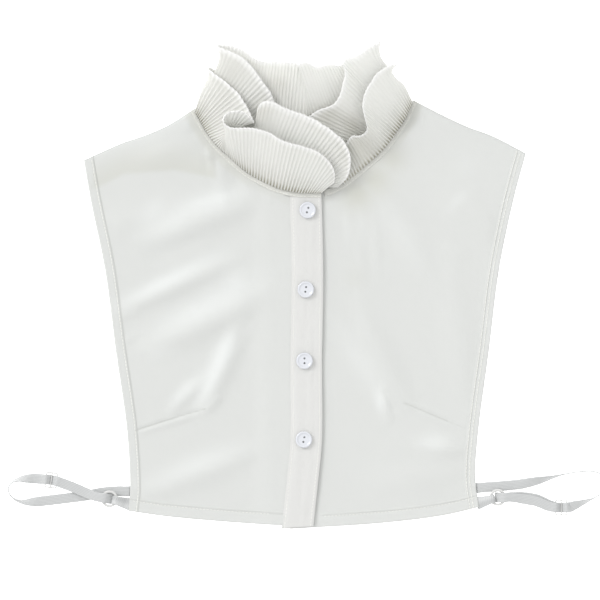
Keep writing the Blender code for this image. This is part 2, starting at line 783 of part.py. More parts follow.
def smooth_route(rows, steps):
    """A smooth curve through rows that may lie above one another."""
    rows = np.array(rows, float)
    chords = np.sqrt(np.linalg.norm(np.diff(rows[:, :3], axis=0), axis=1))
    spans = np.diff(rows, axis=0) / chords[:, None]
    slopes = np.vstack([spans[:1], np.zeros((len(rows) - 2, rows.shape[1])), spans[-1:]])
    for i in range(1, len(rows) - 1):
        slopes[i] = (spans[i - 1] * chords[i] + spans[i] * chords[i - 1]) / (chords[i - 1] + chords[i])
    found = []
    for i in range(len(rows) - 1):
        for k in range(steps):
            t = k / steps
            found.append(
                (2 * t**3 - 3 * t**2 + 1) * rows[i]
                + (t**3 - 2 * t**2 + t) * chords[i] * slopes[i]
                + (3 * t**2 - 2 * t**3) * rows[i + 1]
                + (t**3 - t**2) * chords[i] * slopes[i + 1]
            )
    found.append(rows[-1])
    return np.array(found)


def tilted(rows):
    """Rows of x, y, z, the direction of the width, and the width, from rows with a tilt."""
    rows = np.array(rows, float)
    along = np.gradient(rows[:, :2], axis=0)
    along /= np.linalg.norm(along, axis=1)[:, None]
    found = []
    for (x, y, z, tilt, width), (along_x, along_y) in zip(rows, along):
        flat = math.cos(math.radians(tilt))
        upright = math.sin(math.radians(tilt))
        lowest = (width * abs(upright) + STRAP_THICKNESS * abs(flat)) / 2 + TABLE_CLEAR
        found.append((x, y, max(z, lowest), -along_y * flat, along_x * flat, upright, width))
    return found


def turn_round_ring(ring, end):
    """Rows of a webbing that comes from the end, passes over the wire and back under it."""
    toward = np.array([end[0] - ring[0], end[1] - ring[1]])
    toward /= np.linalg.norm(toward)
    reach = RING_RADIUS - STRAP_IN_RING
    clear = RING_WIRE + SEAM_GAP + STRAP_THICKNESS / 2
    rows = []
    for degrees in (90, 50, 0, -50, -90):
        angle = math.radians(degrees)
        x, y = np.array(ring) + toward * (RING_RADIUS - reach * math.cos(angle))
        z = RING_Z + clear * math.sin(angle)
        rows.append((x, y, z, -toward[1], toward[0], 0.0, STRAP_AT_RING))
    return rows


def webbing(name, route, steps, material):
    """A flat webbing along the route, as one closed band."""
    dense = smooth_route(route, steps)
    place = dense[:, :3]
    tangent = np.gradient(place, axis=0)
    tangent /= np.linalg.norm(tangent, axis=1)[:, None]
    verts = []
    for point, along, across, width in zip(place, tangent, dense[:, 3:6], dense[:, 6]):
        across = across / np.linalg.norm(across)
        face = np.cross(along, across)
        face = face / np.linalg.norm(face)
        half = across * width / 2
        thick = face * STRAP_THICKNESS / 2
        verts += [point - half - thick, point + half - thick, point + half + thick, point - half + thick]
    count = len(place)
    faces = [(0, 1, 2, 3), tuple(4 * (count - 1) + k for k in (3, 2, 1, 0))]
    for i in range(count - 1):
        for k in range(4):
            after = (k + 1) % 4
            faces.append((4 * i + k, 4 * i + 4 + k, 4 * i + 4 + after, 4 * i + after))
    return add_object(name, verts, faces, material, True)


def add_straps(material):
    webbing(
        "strap_left",
        [*tilted(STRAP_LEFT), *turn_round_ring(RING_LEFT, STRAP_LEFT[-1]), *tilted(STRAP_LEFT_RETURN)],
        3,
        material,
    )
    webbing(
        "strap_right",
        [*tilted(STRAP_RIGHT), *turn_round_ring(RING_RIGHT, STRAP_RIGHT[-1]), *tilted(STRAP_RIGHT_RETURN)],
        3,
        material,
    )


def add_tab(name, end, ring, material):
    """A short loop of webbing from the front's corner round the ring's near side."""
    turn = turn_round_ring(ring, end)
    toward = np.array([end[0] - ring[0], end[1] - ring[1]])
    toward /= np.linalg.norm(toward)

    def section(x, y, z, width):
        return (x, y, z, -toward[1], toward[0], 0.0, width)

    lead = np.array(end) - toward * TAB_LEAD
    middle = np.array(ring) + toward * (RING_RADIUS + RING_WIRE + 2 * TAB_LEAD)
    middle_width = (STRAP_AT_RING + TAB_WIDTH) / 2
    route = [
        section(*end, TAB_TOP_Z, TAB_WIDTH),
        section(*lead, TAB_TOP_Z, TAB_WIDTH),
        section(*middle, (TAB_TOP_Z + turn[0][2]) / 2, middle_width),
        *turn,
        section(*middle, (TAB_LOW_Z + turn[-1][2]) / 2, middle_width),
        section(*lead, TAB_LOW_Z, TAB_WIDTH),
        section(*end, TAB_LOW_Z, TAB_WIDTH),
    ]
    webbing(name, route, 2, material)


def add_ring(name, ring, material):
    bpy.ops.mesh.primitive_torus_add(
        major_segments=20,
        minor_segments=6,
        major_radius=RING_RADIUS * MM,
        minor_radius=RING_WIRE * MM,
        location=(ring[0] * MM, ring[1] * MM, RING_Z * MM),
    )
    made = bpy.context.object
    made.name = name
    made.data.name = name
    for polygon in made.data.polygons:
        polygon.use_smooth = True
    made.data.materials.append(material)


def add_box(name, size, place, turn):
    bpy.ops.mesh.primitive_cube_add(size=1.0, location=[value * MM for value in place])
    made = bpy.context.object
    made.name = name
    made.data.name = name
    made.rotation_euler[2] = math.radians(turn)
    for vertex in made.data.vertices:
        vertex.co = Vector([vertex.co[k] * size[k] * MM for k in range(3)])
    return made


def cut(target, cutter):
    cutter.hide_render = True
    cutter.display_type = "WIRE"
    modifier = target.modifiers.new("cut", "BOOLEAN")
    modifier.operation = "DIFFERENCE"
    modifier.solver = "EXACT"
    modifier.object = cutter


def add_slider(name, spot, material):
    """A flat buckle with a bar at each end and one in the middle."""
    x, y, turn = spot
    made = add_box(name, (SLIDER_LENGTH, SLIDER_WIDTH, 2 * SLIDER_BAR), (x, y, SLIDER_Z), turn)
    bevel = made.modifiers.new("ease", "BEVEL")
    bevel.width = SLIDER_EASE * MM
    bevel.segments = 1
    bevel.limit_method = "ANGLE"
    made.data.materials.append(material)
    pitch = SLIDER_LENGTH / 2 - SLIDER_BAR
    for side in (-1, 1):
        angle = math.radians(turn)
        place = (x + side * pitch / 2 * math.cos(angle), y + side * pitch / 2 * math.sin(angle), SLIDER_Z)
        size = (pitch - 2 * SLIDER_BAR, SLIDER_WIDTH - 2 * SLIDER_RAIL, 6 * SLIDER_BAR)
        cut(made, add_box(f"{name}_slot_{side + 2}", size, place, turn))


def add_button(name, spot, material):
    """A dished button with a raised rim and two holes."""
    x, y, turn = spot
    underside = PLACKET_Z + WALL + SEAM_GAP
    profile = (
        (BUTTON_RADIUS - 1.0, 0.0),
        (BUTTON_RADIUS, 0.8),
        (BUTTON_RADIUS, BUTTON_THICKNESS - 0.7),
        (BUTTON_RADIUS - 0.6, BUTTON_THICKNESS),
        (BUTTON_RADIUS - BUTTON_RIM, BUTTON_THICKNESS),
        (BUTTON_RADIUS - BUTTON_RIM - 1.2, BUTTON_THICKNESS - BUTTON_DISH),
    )
    sides = 22
    verts = []
    for radius, height in profile:
        for k in range(sides):
            angle = 2 * math.pi * k / sides
            verts.append((radius * math.cos(angle), radius * math.sin(angle), height))
    faces = [tuple(range(sides - 1, -1, -1))]
    for ring in range(len(profile) - 1):
        for k in range(sides):
            after = (k + 1) % sides
            low = ring * sides
            faces.append((low + k, low + after, low + sides + after, low + sides + k))
    faces.append(tuple((len(profile) - 1) * sides + k for k in range(sides)))
    made = add_object(name, verts, faces, material, True)
    made.location = (x * MM, y * MM, underside * MM)
    made.rotation_euler[2] = math.radians(turn)
    for side in (-1, 1):
        angle = math.radians(turn)
        bpy.ops.mesh.primitive_cylinder_add(
            vertices=8,
            radius=BUTTON_HOLE_RADIUS * MM,
            depth=4 * BUTTON_THICKNESS * MM,
            location=(
                (x - side * BUTTON_HOLE_SPACING / 2 * math.sin(angle)) * MM,
                (y + side * BUTTON_HOLE_SPACING / 2 * math.cos(angle)) * MM,
                underside * MM,
            ),
        )
        cutter = bpy.context.object
        cutter.name = f"{name}_hole_{side + 2}"
        cut(made, cutter)


def main():
    clear_scene()
    chiffon = make_material("chiffon", (0.80, 0.81, 0.79), 0.6)
    placket_cloth = make_material("placket_cloth", (0.80, 0.81, 0.79), 0.6)
    pleated = make_material("pleated_voile", (0.79, 0.79, 0.74), 0.65)
    elastic = make_material("elastic", (0.72, 0.73, 0.73), 0.7)
    pearl = make_material("button_plastic", (0.86, 0.86, 0.90), 0.2)
    clear_plastic = make_material("fitting_plastic", (0.82, 0.82, 0.82), 0.25)

    add_back(chiffon)
    left = front_grid(ARMHOLE_LEFT, HEM_LEFT, CENTRE_FRONT, NECK_LEFT, SHOULDER_LEFT, 15, 27)
    front_panel("front_left", left, left_underside, chiffon)
    right = front_grid(
        ARMHOLE_RIGHT, HEM_RIGHT, UNDERLAP_EDGE, NECK_RIGHT[::-1], SHOULDER_RIGHT, 15, 27
    )
    front_panel("front_right", right, right_underside, chiffon)
    add_placket(placket_cloth)
    add_neck_bands(chiffon)
    add_ruffles(pleated)
    add_straps(elastic)
    add_tab("strap_tab_left", TAB_LEFT_END, RING_LEFT, elastic)
    add_tab("strap_tab_right", TAB_RIGHT_END, RING_RIGHT, elastic)
    add_ring("ring_left", RING_LEFT, clear_plastic)
    add_ring("ring_right", RING_RIGHT, clear_plastic)
    add_slider("slider_left", SLIDER_LEFT, clear_plastic)
    add_slider("slider_right", SLIDER_RIGHT, clear_plastic)
    for number, spot in enumerate(BUTTONS, start=1):
        add_button(f"button_{number}", spot, pearl)


main()
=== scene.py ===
# Ruffle collar with button front, laid flat and seen from above.
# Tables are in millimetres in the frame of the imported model, left and right as the viewer sees them.
import math

import bpy
import numpy as np
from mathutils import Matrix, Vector


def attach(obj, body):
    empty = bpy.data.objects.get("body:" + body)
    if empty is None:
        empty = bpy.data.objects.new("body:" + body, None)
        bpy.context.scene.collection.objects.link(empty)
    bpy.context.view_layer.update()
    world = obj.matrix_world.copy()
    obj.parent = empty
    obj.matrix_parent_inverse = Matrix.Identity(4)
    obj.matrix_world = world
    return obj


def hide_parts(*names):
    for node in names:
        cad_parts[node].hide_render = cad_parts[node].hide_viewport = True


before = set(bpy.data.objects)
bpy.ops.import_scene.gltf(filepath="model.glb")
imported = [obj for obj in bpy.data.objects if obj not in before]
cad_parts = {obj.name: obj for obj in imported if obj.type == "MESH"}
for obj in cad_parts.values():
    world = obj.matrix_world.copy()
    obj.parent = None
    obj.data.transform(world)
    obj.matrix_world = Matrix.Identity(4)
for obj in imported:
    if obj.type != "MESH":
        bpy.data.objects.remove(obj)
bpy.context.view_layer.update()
mm = 0.001
wall = 1.0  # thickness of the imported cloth, whose middle the thin cloth follows
seamGap = 0.3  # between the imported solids
fullTurn = 2 * math.pi
rng = np.random.default_rng(11)
print("frame loaded:", len(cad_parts), "nodes")

photoView = {
    "span": 480.0, "centre": (-5.6, -12.4), "height": 6000.0, "clothLevel": 3.0, "sensor": 36.0, "clip": (0.1, 50.0),
}


def addCamera(look):
    data = bpy.data.cameras.new("photoCamera")
    data.sensor_width = look["sensor"]
    data.lens = look["sensor"] * look["height"] / look["span"]
    data.clip_start, data.clip_end = look["clip"]
    camera = bpy.data.objects.new("photoCamera", data)
    x, y = look["centre"]
    camera.location = (x * mm, y * mm, (look["height"] + look["clothLevel"]) * mm)
    bpy.context.scene.collection.objects.link(camera)
    bpy.context.scene.camera = camera


softLights = {  # places in metres
    "key": {"place": (-5.2, 3.6, 4.6), "kind": "SUN", "size": 0.42, "power": 1.22},
    "overhead": {"place": (0.2, 0.3, 2.4), "kind": "DISK", "size": 2.6, "power": 3.0},
    "fill": {"place": (1.5, -1.1, 1.2), "kind": "DISK", "size": 1.8, "power": 1.5},
}


def addLights(lights):
    for name, look in lights.items():
        data = bpy.data.lights.new(name + "Light", "SUN" if look["kind"] == "SUN" else "AREA")
        if look["kind"] == "SUN":
            data.angle = look["size"]
        else:
            data.shape = look["kind"]
            data.size = look["size"]
        data.energy = look["power"]
        lamp = bpy.data.objects.new(name + "Light", data)
        lamp.location = look["place"]
        lamp.rotation_euler = (-Vector(look["place"])).to_track_quat("-Z", "Y").to_euler()
        bpy.context.scene.collection.objects.link(lamp)


studio = {
    "world": 0.958, "worldColour": (1.0, 1.0, 1.0), "floorColour": (0.88, 0.88, 0.88), "floorGlow": 0.8,
    "floorRoughness": 0.9, "floorSize": 24.0, "floorLevel": -0.0004,
}


def addStudio(look):
    world = bpy.data.worlds.new("paleRoom")
    world.use_nodes = True
    back = world.node_tree.nodes["Background"]
    back.inputs["Color"].default_value = (*look["worldColour"], 1.0)
    back.inputs["Strength"].default_value = look["world"]
    bpy.context.scene.world = world
    bpy.context.scene.view_settings.view_transform = "Standard"
    bpy.ops.mesh.primitive_plane_add(size=look["floorSize"], location=(0, 0, look["floorLevel"]))
    floor = bpy.context.object
    floor.name = "tableTop"
    material = bpy.data.materials.new("tableWhite")
    material.use_nodes = True
    shader = material.node_tree.nodes["Principled BSDF"]
    shader.inputs["Base Color"].default_value = (*look["floorColour"], 1.0)
    shader.inputs["Roughness"].default_value = look["floorRoughness"]
    shader.inputs["Emission Color"].default_value = (1.0, 1.0, 1.0, 1.0)
    shader.inputs["Emission Strength"].default_value = look["floorGlow"]
    floor.data.materials.append(material)


addCamera(photoView)
addLights(softLights)
addStudio(studio)
print("camera, lights and table ready")


def addNode(tree, kind, place, values=None, **settings):
    # a node whose inputs are linked where a value is a socket, and set where it is not
    node = tree.nodes.new(kind)
    node.location = place
    for key, value in settings.items():
        setattr(node, key, value)
    for label, value in (values or {}).items():
        if isinstance(value, bpy.types.NodeSocket):
            tree.links.new(value, node.inputs[label])
        else:
            node.inputs[label].default_value = (*value, 1.0) if isinstance(value, tuple) else value
    return node


def newGroup(name, inputs, outputs):
    tree = bpy.data.node_groups.new(name, "ShaderNodeTree")
    for label, value in inputs.items():
        kind = "NodeSocketColor" if isinstance(value, tuple) else "NodeSocketFloat"
        socket = tree.interface.new_socket(name=label, in_out="INPUT", socket_type=kind)
        socket.default_value = (*value, 1.0) if isinstance(value, tuple) else value
    for label in outputs:
        kind = "NodeSocketColor" if label == "Colour" else "NodeSocketFloat"
        tree.interface.new_socket(name=label, in_out="OUTPUT", socket_type=kind)
    start = addNode(tree, "NodeGroupInput", (-900, 0))
    end = addNode(tree, "NodeGroupOutput", (700, 0))
    return tree, start.outputs, end.inputs


def mathNode(tree, operation, place, first, second=0.0):
    return addNode(tree, "ShaderNodeMath", place, {0: first, 1: second}, operation=operation).outputs[0]


def mixColours(tree, place, factor, first, second):
    values = {"Factor": factor, "A": first, "B": second}
    return addNode(tree, "ShaderNodeMix", place, values, data_type="RGBA", clamp_factor=True).outputs["Result"]


def attributeValue(tree, place, label):
    return addNode(tree, "ShaderNodeAttribute", place, attribute_name=label).outputs["Fac"]


bandScale = 0.31416  # scale of the wave texture for one band in a metre


def weaveGroup():
    # plain weave threads over a cloudy tone
    tree, start, end = newGroup(
        "Cloth Weave",
        {
            "Cloth Colour": (0.8, 0.8, 0.8), "Shade Colour": (0.7, 0.7, 0.7), "Threads Per Metre": 2800.0,
            "Cloud Scale": 30.0, "Cloud Amount": 0.3, "Slub Amount": 0.3,
        },
        ("Colour", "Threads"),
    )
    spot = addNode(tree, "ShaderNodeTexCoord", (-900, 300)).outputs["Object"]
    scale = mathNode(tree, "MULTIPLY", (-700, 200), start["Threads Per Metre"], bandScale)
    threads = {"Vector": spot, "Scale": scale, "Distortion": 0.6, "Detail": 1.0}
    bands = [
        addNode(tree, "ShaderNodeTexWave", (-500, 300 - 220 * row), threads, bands_direction=direction).outputs["Fac"]
        for row, direction in enumerate("XY")
    ]
    slub = addNode(tree, "ShaderNodeTexNoise", (-500, -200), {"Vector": spot, "Scale": 420.0, "Detail": 3.0})
    slubs = mathNode(tree, "MULTIPLY", (-250, -150), slub.outputs["Fac"], start["Slub Amount"])
    woven = mathNode(tree, "ADD", (-250, 250), *bands)
    tree.links.new(mathNode(tree, "ADD", (0, 200), woven, slubs), end["Threads"])
    clouds = {"Vector": spot, "Scale": start["Cloud Scale"], "Detail": 2.0}
    cloud = addNode(tree, "ShaderNodeTexNoise", (-500, -450), clouds).outputs["Fac"]
    cloudy = mathNode(tree, "MULTIPLY", (-250, -400), cloud, start["Cloud Amount"])
    amount = mathNode(tree, "ADD", (200, -300), cloudy, mathNode(tree, "MULTIPLY", (0, -250), slubs, 0.35))
    toned = mixColours(tree, (420, -150), amount, start["Cloth Colour"], start["Shade Colour"])
    tree.links.new(toned, end["Colour"])
    return tree


def pleatShadeGroup():
    # heat-set pleats: painted shade darkens the valleys, and the free edge is bright
    tree, start, end = newGroup(
        "PleatShade Tone",
        {
            "Cloth Colour": (0.8, 0.8, 0.8), "ValleyShade Colour": (0.6, 0.6, 0.55), "Edge Colour": (0.9, 0.9, 0.9),
            "ValleyShade Amount": 0.6, "Edge Amount": 0.8,
        },
        ("Colour",),
    )
    toned = start["Cloth Colour"]
    for row, (label, attribute) in enumerate((("ValleyShade", "valleyShade"), ("Edge", "freeEdge"))):
        found = attributeValue(tree, (-700, 200 - 400 * row), attribute)
        share = mathNode(tree, "MULTIPLY", (-450, 200 - 400 * row), found, start[label + " Amount"])
        toned = mixColours(tree, (-150 + 350 * row, 0), share, toned, start[label + " Colour"])
    tree.links.new(toned, end["Colour"])
    return tree


def layerAndPaintedLightGroup():
    # sheer cloth: a painted highlight along soft folds, tinted by a layer beneath and by painted shadow, darker along
    # the hem seams with painted shade in the dart grooves
    tree, start, end = newGroup(
        "Sheer LayersAndPaintedLight",
        {
            "Cloth Colour": (0.8, 0.8, 0.8), "Highlight Colour": (0.78, 0.8, 0.79),
            "Layer Colour": (0.75, 0.74, 0.7), "Seam Colour": (0.5, 0.5, 0.48),
        },
        ("Colour",),
    )
    toned = start["Cloth Colour"]
    for row, label in enumerate(("Highlight", "Layer", "Seam")):
        share = attributeValue(tree, (-700 + 300 * row, -200), label.lower())
        toned = mixColours(tree, (-500 + 300 * row, 100), share, toned, start[label + " Colour"])
    tree.links.new(toned, end["Colour"])
    return tree


def webbingGroup():
    # fine ribs of knitted elastic, from the places along and across it in the UV map; the gaps between the ribs are
    # painted darker, as shade
    tree, start, end = newGroup(
        "Elastic Ribs",
        {
            "Rib Colour": (0.8, 0.8, 0.8), "Gap Colour": (0.6, 0.6, 0.6),
            "Ribs Across": 9.0, "Rows Per Millimetre": 1.1,
        },
        ("Colour", "Ribs"),
    )
    uv = addNode(tree, "ShaderNodeUVMap", (-900, 300), uv_map="clothMap").outputs["UV"]
    parts = addNode(tree, "ShaderNodeSeparateXYZ", (-700, 300), {0: uv}).outputs
    across = mathNode(tree, "MULTIPLY", (-500, 400), parts["Y"], start["Ribs Across"])
    across = mathNode(tree, "MULTIPLY", (-350, 400), across, fullTurn)
    along = mathNode(tree, "MULTIPLY", (-500, 200), parts["X"], start["Rows Per Millimetre"])
    along = mathNode(tree, "MULTIPLY", (-350, 200), along, fullTurn)
    along = mathNode(tree, "ADD", (-200, 200), along, across)
    rows = mathNode(tree, "MULTIPLY", (100, 200), mathNode(tree, "SINE", (-50, 200), along), 0.45)
    both = mathNode(tree, "ADD", (250, 300), mathNode(tree, "SINE", (-200, 400), across), rows)
    both = mathNode(tree, "ADD", (520, 300), mathNode(tree, "MULTIPLY", (400, 300), both, 0.34), 0.5)
    tree.links.new(both, end["Ribs"])
    tree.links.new(mixColours(tree, (500, 0), both, start["Gap Colour"], start["Rib Colour"]), end["Colour"])
    return tree


def mouldedGroup():
    # faint flow clouds and fine scuffs of moulded plastic
    tree, start, end = newGroup(
        "Moulded Tone",
        {
            "Plastic Colour": (0.8, 0.8, 0.8), "Flow Colour": (0.7, 0.7, 0.7), "Flow Scale": 260.0,
            "Base Roughness": 0.2, "Scuff Amount": 0.15,
        },
        ("Colour", "Roughness", "Grain"),
    )
    spot = addNode(tree, "ShaderNodeTexCoord", (-900, 300)).outputs["Object"]
    flowing = {"Vector": spot, "Scale": start["Flow Scale"], "Distortion": 1.2}
    flow = addNode(tree, "ShaderNodeTexNoise", (-600, 300), flowing).outputs["Fac"]
    tree.links.new(mixColours(tree, (200, 200), flow, start["Plastic Colour"], start["Flow Colour"]), end["Colour"])
    scuffs = {"Vector": spot, "Scale": 1600.0, "Detail": 4.0}
    scuff = addNode(tree, "ShaderNodeTexNoise", (-600, -100), scuffs).outputs["Fac"]
    rough = mathNode(tree, "MULTIPLY", (-300, -100), scuff, start["Scuff Amount"])
    tree.links.new(mathNode(tree, "ADD", (-100, -100), rough, start["Base Roughness"]), end["Roughness"])
    tree.links.new(scuff, end["Grain"])
    return tree


weave = weaveGroup()
pleatShadeTone = pleatShadeGroup()
sheerLayersAndPaintedLight = layerAndPaintedLightGroup()
elasticRibs = webbingGroup()
mouldedTone = mouldedGroup()


def newMaterial(name, values):
    material = bpy.data.materials.new(name)
    material.use_nodes = True
    tree = material.node_tree
    shader = tree.nodes["Principled BSDF"]
    for label, value in values.items():
        shader.inputs[label].default_value = value
    return material, tree, shader


def dress(tree, shader, colour, height, distance):
    tree.links.new(colour, shader.inputs["Base Color"])
    bump = addNode(tree, "ShaderNodeBump", (-220, -200), {"Strength": 1.0, "Distance": distance, "Height": height})
    tree.links.new(bump.outputs["Normal"], shader.inputs["Normal"])


def wovenTone(tree, place, look):
    values = {
        "Cloth Colour": look["cloth"], "Shade Colour": look["shade"], "Threads Per Metre": look["threads"],
        "Cloud Scale": look["clouds"], "Cloud Amount": look["cloudAmount"], "Slub Amount": look["slub"],
    }
    return addNode(tree, "ShaderNodeGroup", place, values, node_tree=weave).outputs


clothFinishes = {
    "frontChiffonPaintedLight": {
        "cloth": (0.675, 0.687, 0.669), "shade": (0.638, 0.650, 0.632), "threads": 2900.0,
        "clouds": 26.0, "cloudAmount": 0.35, "slub": 0.35, "depth": 0.00005, "sheen": 0.12, "roughness": 0.62,
        # layer tints where a layer beneath shows through and also paints shadow; seam darkens the hem seams and paints
        # shade in the dart grooves; the last colour is a painted highlight on the soft folds
        "layer": (0.585, 0.59, 0.53), "seam": (0.40, 0.41, 0.38), "highlight": (0.80, 0.82, 0.81),
    },
    "backChiffon": {
        "cloth": (0.67, 0.68, 0.66), "shade": (0.63, 0.64, 0.62), "threads": 2900.0,
        "clouds": 26.0, "cloudAmount": 0.4, "slub": 0.35, "depth": 0.00005, "sheen": 0.12, "roughness": 0.66,
    },
    "placketPoplin": {
        "cloth": (0.712, 0.712, 0.696), "shade": (0.675, 0.676, 0.66), "threads": 2700.0,
        "clouds": 34.0, "cloudAmount": 0.3, "slub": 0.4, "depth": 0.00006, "sheen": 0.1, "roughness": 0.6,
    },
    "neckBinding": {
        "cloth": (0.71, 0.712, 0.675), "shade": (0.67, 0.672, 0.63), "threads": 2600.0,
        "clouds": 60.0, "cloudAmount": 0.4, "slub": 0.45, "depth": 0.00007, "sheen": 0.1, "roughness": 0.64,
    },
    "sewingThread": {
        "cloth": (0.97, 0.97, 0.92), "shade": (0.93, 0.93, 0.88), "threads": 5200.0,
        "clouds": 300.0, "cloudAmount": 0.4, "slub": 0.5, "depth": 0.00004, "sheen": 0.2, "roughness": 0.5,
    },
}


def clothMaterial(name, look):
    values = {"Roughness": look["roughness"], "Sheen Weight": look["sheen"], "Sheen Roughness": 0.45}
    material, tree, shader = newMaterial(name, values)
    woven = wovenTone(tree, (-500, 200), look)
    colour = woven["Colour"]
    if "layer" in look:
        # painted highlight, layer tint with painted shadow, and darker seams with painted dart shade over the weave
        values = {
            "Cloth Colour": colour, "Layer Colour": look["layer"], "Seam Colour": look["seam"],
            "Highlight Colour": look["highlight"],
        }
        colour = addNode(tree, "ShaderNodeGroup", (-250, 200), values, node_tree=sheerLayersAndPaintedLight).outputs["Colour"]
    dress(tree, shader, colour, woven["Threads"], look["depth"])
    return material


# valley is the colour of painted shade in the pleats' valleys
voileFinish = {
    "cloth": (0.888, 0.891, 0.86), "shade": (0.862, 0.865, 0.83), "threads": 3400.0, "clouds": 45.0,
    "cloudAmount": 0.45, "slub": 0.3, "depth": 0.00004, "valleyShade": (0.42, 0.40, 0.31), "edge": (0.985, 0.985, 0.97),
    "valleyShadeAmount": 0.8, "edgeAmount": 1.0, "sheen": 0.15, "roughness": 0.6, "sheerness": 0.2,
}


def voileMaterial(look):
    # sheer pleated voile: weave first, then the pleats' painted valley shade and bright free edge over it
    values = {"Roughness": look["roughness"], "Sheen Weight": look["sheen"], "Sheen Roughness": 0.4}
    material, tree, shader = newMaterial("pleatedVoilePaintedShade", values)
    base = wovenTone(tree, (-900, 200), look)
    values = {
        "Cloth Colour": base["Colour"], "ValleyShade Colour": look["valleyShade"], "Edge Colour": look["edge"],
        "ValleyShade Amount": look["valleyShadeAmount"], "Edge Amount": look["edgeAmount"],
    }
    toned = addNode(tree, "ShaderNodeGroup", (-500, 200), values, node_tree=pleatShadeTone).outputs["Colour"]
    dress(tree, shader, toned, base["Threads"], look["depth"])
    through = addNode(tree, "ShaderNodeBsdfTranslucent", (0, -300), {"Color": toned})
    shares = {"Fac": look["sheerness"], 1: shader.outputs[0], 2: through.outputs[0]}
    both = addNode(tree, "ShaderNodeMixShader", (300, 0), shares)
    tree.links.new(both.outputs[0], tree.nodes["Material Output"].inputs["Surface"])
    return material


elasticFinish = {
    # gap is the colour of painted shade between the ribs
    "rib": (0.62, 0.63, 0.63), "gap": (0.44, 0.45, 0.45), "depth": 0.00018, "roughness": 0.55, "ribs": 7.0, "rows": 0.9,
}
tabFinish = {**elasticFinish, "depth": 0.0003, "ribs": 1.0, "rows": 0.62}


def elasticMaterial(name, look):
    material, tree, shader = newMaterial(name, {"Roughness": look["roughness"], "Sheen Weight": 0.12})
    values = {
        "Rib Colour": look["rib"], "Gap Colour": look["gap"], "Ribs Across": look["ribs"],
        "Rows Per Millimetre": look["rows"],
    }
    ribbed = addNode(tree, "ShaderNodeGroup", (-500, 200), values, node_tree=elasticRibs).outputs
    dress(tree, shader, ribbed["Colour"], ribbed["Ribs"], look["depth"])
    return material


plasticFinishes = {
    "pearlButton": {
        "plastic": (0.68, 0.695, 0.735), "flow": (0.64, 0.66, 0.70), "scale": 240.0,
        "roughness": 0.16, "scuff": 0.12, "coat": 0.4, "depth": 0.00002,
    },
    "nylonFitting": {
        "plastic": (0.655, 0.655, 0.645), "flow": (0.60, 0.60, 0.59), "scale": 300.0,
        "roughness": 0.22, "scuff": 0.2, "coat": 0.2, "depth": 0.00002,
    },
}


def plasticMaterial(name, look):
    material, tree, shader = newMaterial(name, {"Coat Weight": look["coat"], "Coat Roughness": 0.12})
    values = {
        "Plastic Colour": look["plastic"], "Flow Colour": look["flow"], "Flow Scale": look["scale"],
        "Base Roughness": look["roughness"], "Scuff Amount": look["scuff"],
    }
    moulded = addNode(tree, "ShaderNodeGroup", (-500, 200), values, node_tree=mouldedTone).outputs
    dress(tree, shader, moulded["Colour"], moulded["Grain"], look["depth"])
    tree.links.new(moulded["Roughness"], shader.inputs["Roughness"])
    return material


finish = {name: clothMaterial(name, look) for name, look in clothFinishes.items()}
finish["pleatedVoilePaintedShade"] = voileMaterial(voileFinish)
finish["strapElastic"] = elasticMaterial("strapElastic", elasticFinish)
finish["tabElastic"] = elasticMaterial("tabElastic", tabFinish)
finish.update({name: plasticMaterial(name, look) for name, look in plasticFinishes.items()})
print("materials ready:", len(finish))


def smoothRows(rows, steps, axes=2, least=0.05):
    # a smooth curve through the rows, all columns alike, spaced by the first axes
    rows = np.array(rows, float)
    chords = np.sqrt(np.linalg.norm(np.diff(rows[:, :axes], axis=0), axis=1)) + least
    spans = (rows[1:] - rows[:-1]) / chords[:, None]
    slopes = np.zeros_like(rows)
    slopes[0], slopes[-1] = spans[0], spans[-1]
    for i in range(1, len(rows) - 1):
        before, after = chords[i - 1], chords[i]
        slopes[i] = (spans[i - 1] * after + spans[i] * before) / (before + after)
    found = []
    for i in range(len(rows) - 1):
        for t in np.arange(steps) / steps:
            found.append(
                (2 * t**3 - 3 * t**2 + 1) * rows[i]
                + (t**3 - 2 * t**2 + t) * chords[i] * slopes[i]
                + (3 * t**2 - 2 * t**3) * rows[i + 1]
                + (t**3 - t**2) * chords[i] * slopes[i + 1]
            )
    found.append(rows[-1])
    return np.array(found)


def lengthsAlong(line):
    return np.concatenate([[0.0], np.cumsum(np.linalg.norm(np.diff(line, axis=0), axis=1))])


def resampled(line, along, wanted):
    return np.stack([np.interp(wanted, along, line[:, k]) for k in range(line.shape[1])], axis=-1)


def atShares(line, shares):
    along = lengthsAlong(line[:, :2])
    return resampled(line, along, np.asarray(shares) * along[-1])


def shifted(line, distance):
    tangent = np.gradient(line[:, :2], axis=0)
    tangent /= np.linalg.norm(tangent, axis=1)[:, None]
    moved = line.copy()
    moved[:, 0] -= tangent[:, 1] * distance
    moved[:, 1] += tangent[:, 0] * distance
    return moved


def smoothStep(value):
    value = np.clip(value, 0.0, 1.0)
    return value * value * (3 - 2 * value)


def bell(distance, reach):
    return np.exp(-((distance / reach) ** 2))


def newObject(name, points, faces, material, smooth=True, uv=None):
    mesh = bpy.data.meshes.new(name)
    mesh.from_pydata((np.asarray(points) * mm).tolist(), [], faces)
    mesh.materials.append(material)
    mesh.polygons.foreach_set("use_smooth", [smooth] * len(mesh.polygons))
    if uv is not None:
        layer = mesh.uv_layers.new(name="clothMap")
        corners = np.zeros(len(mesh.loops), int)
        mesh.loops.foreach_get("vertex_index", corners)
        layer.data.foreach_set("uv", np.asarray(uv, np.float32)[corners].ravel())
    mesh.update()
    made = bpy.data.objects.new(name, mesh)
    bpy.context.scene.collection.objects.link(made)
    return made


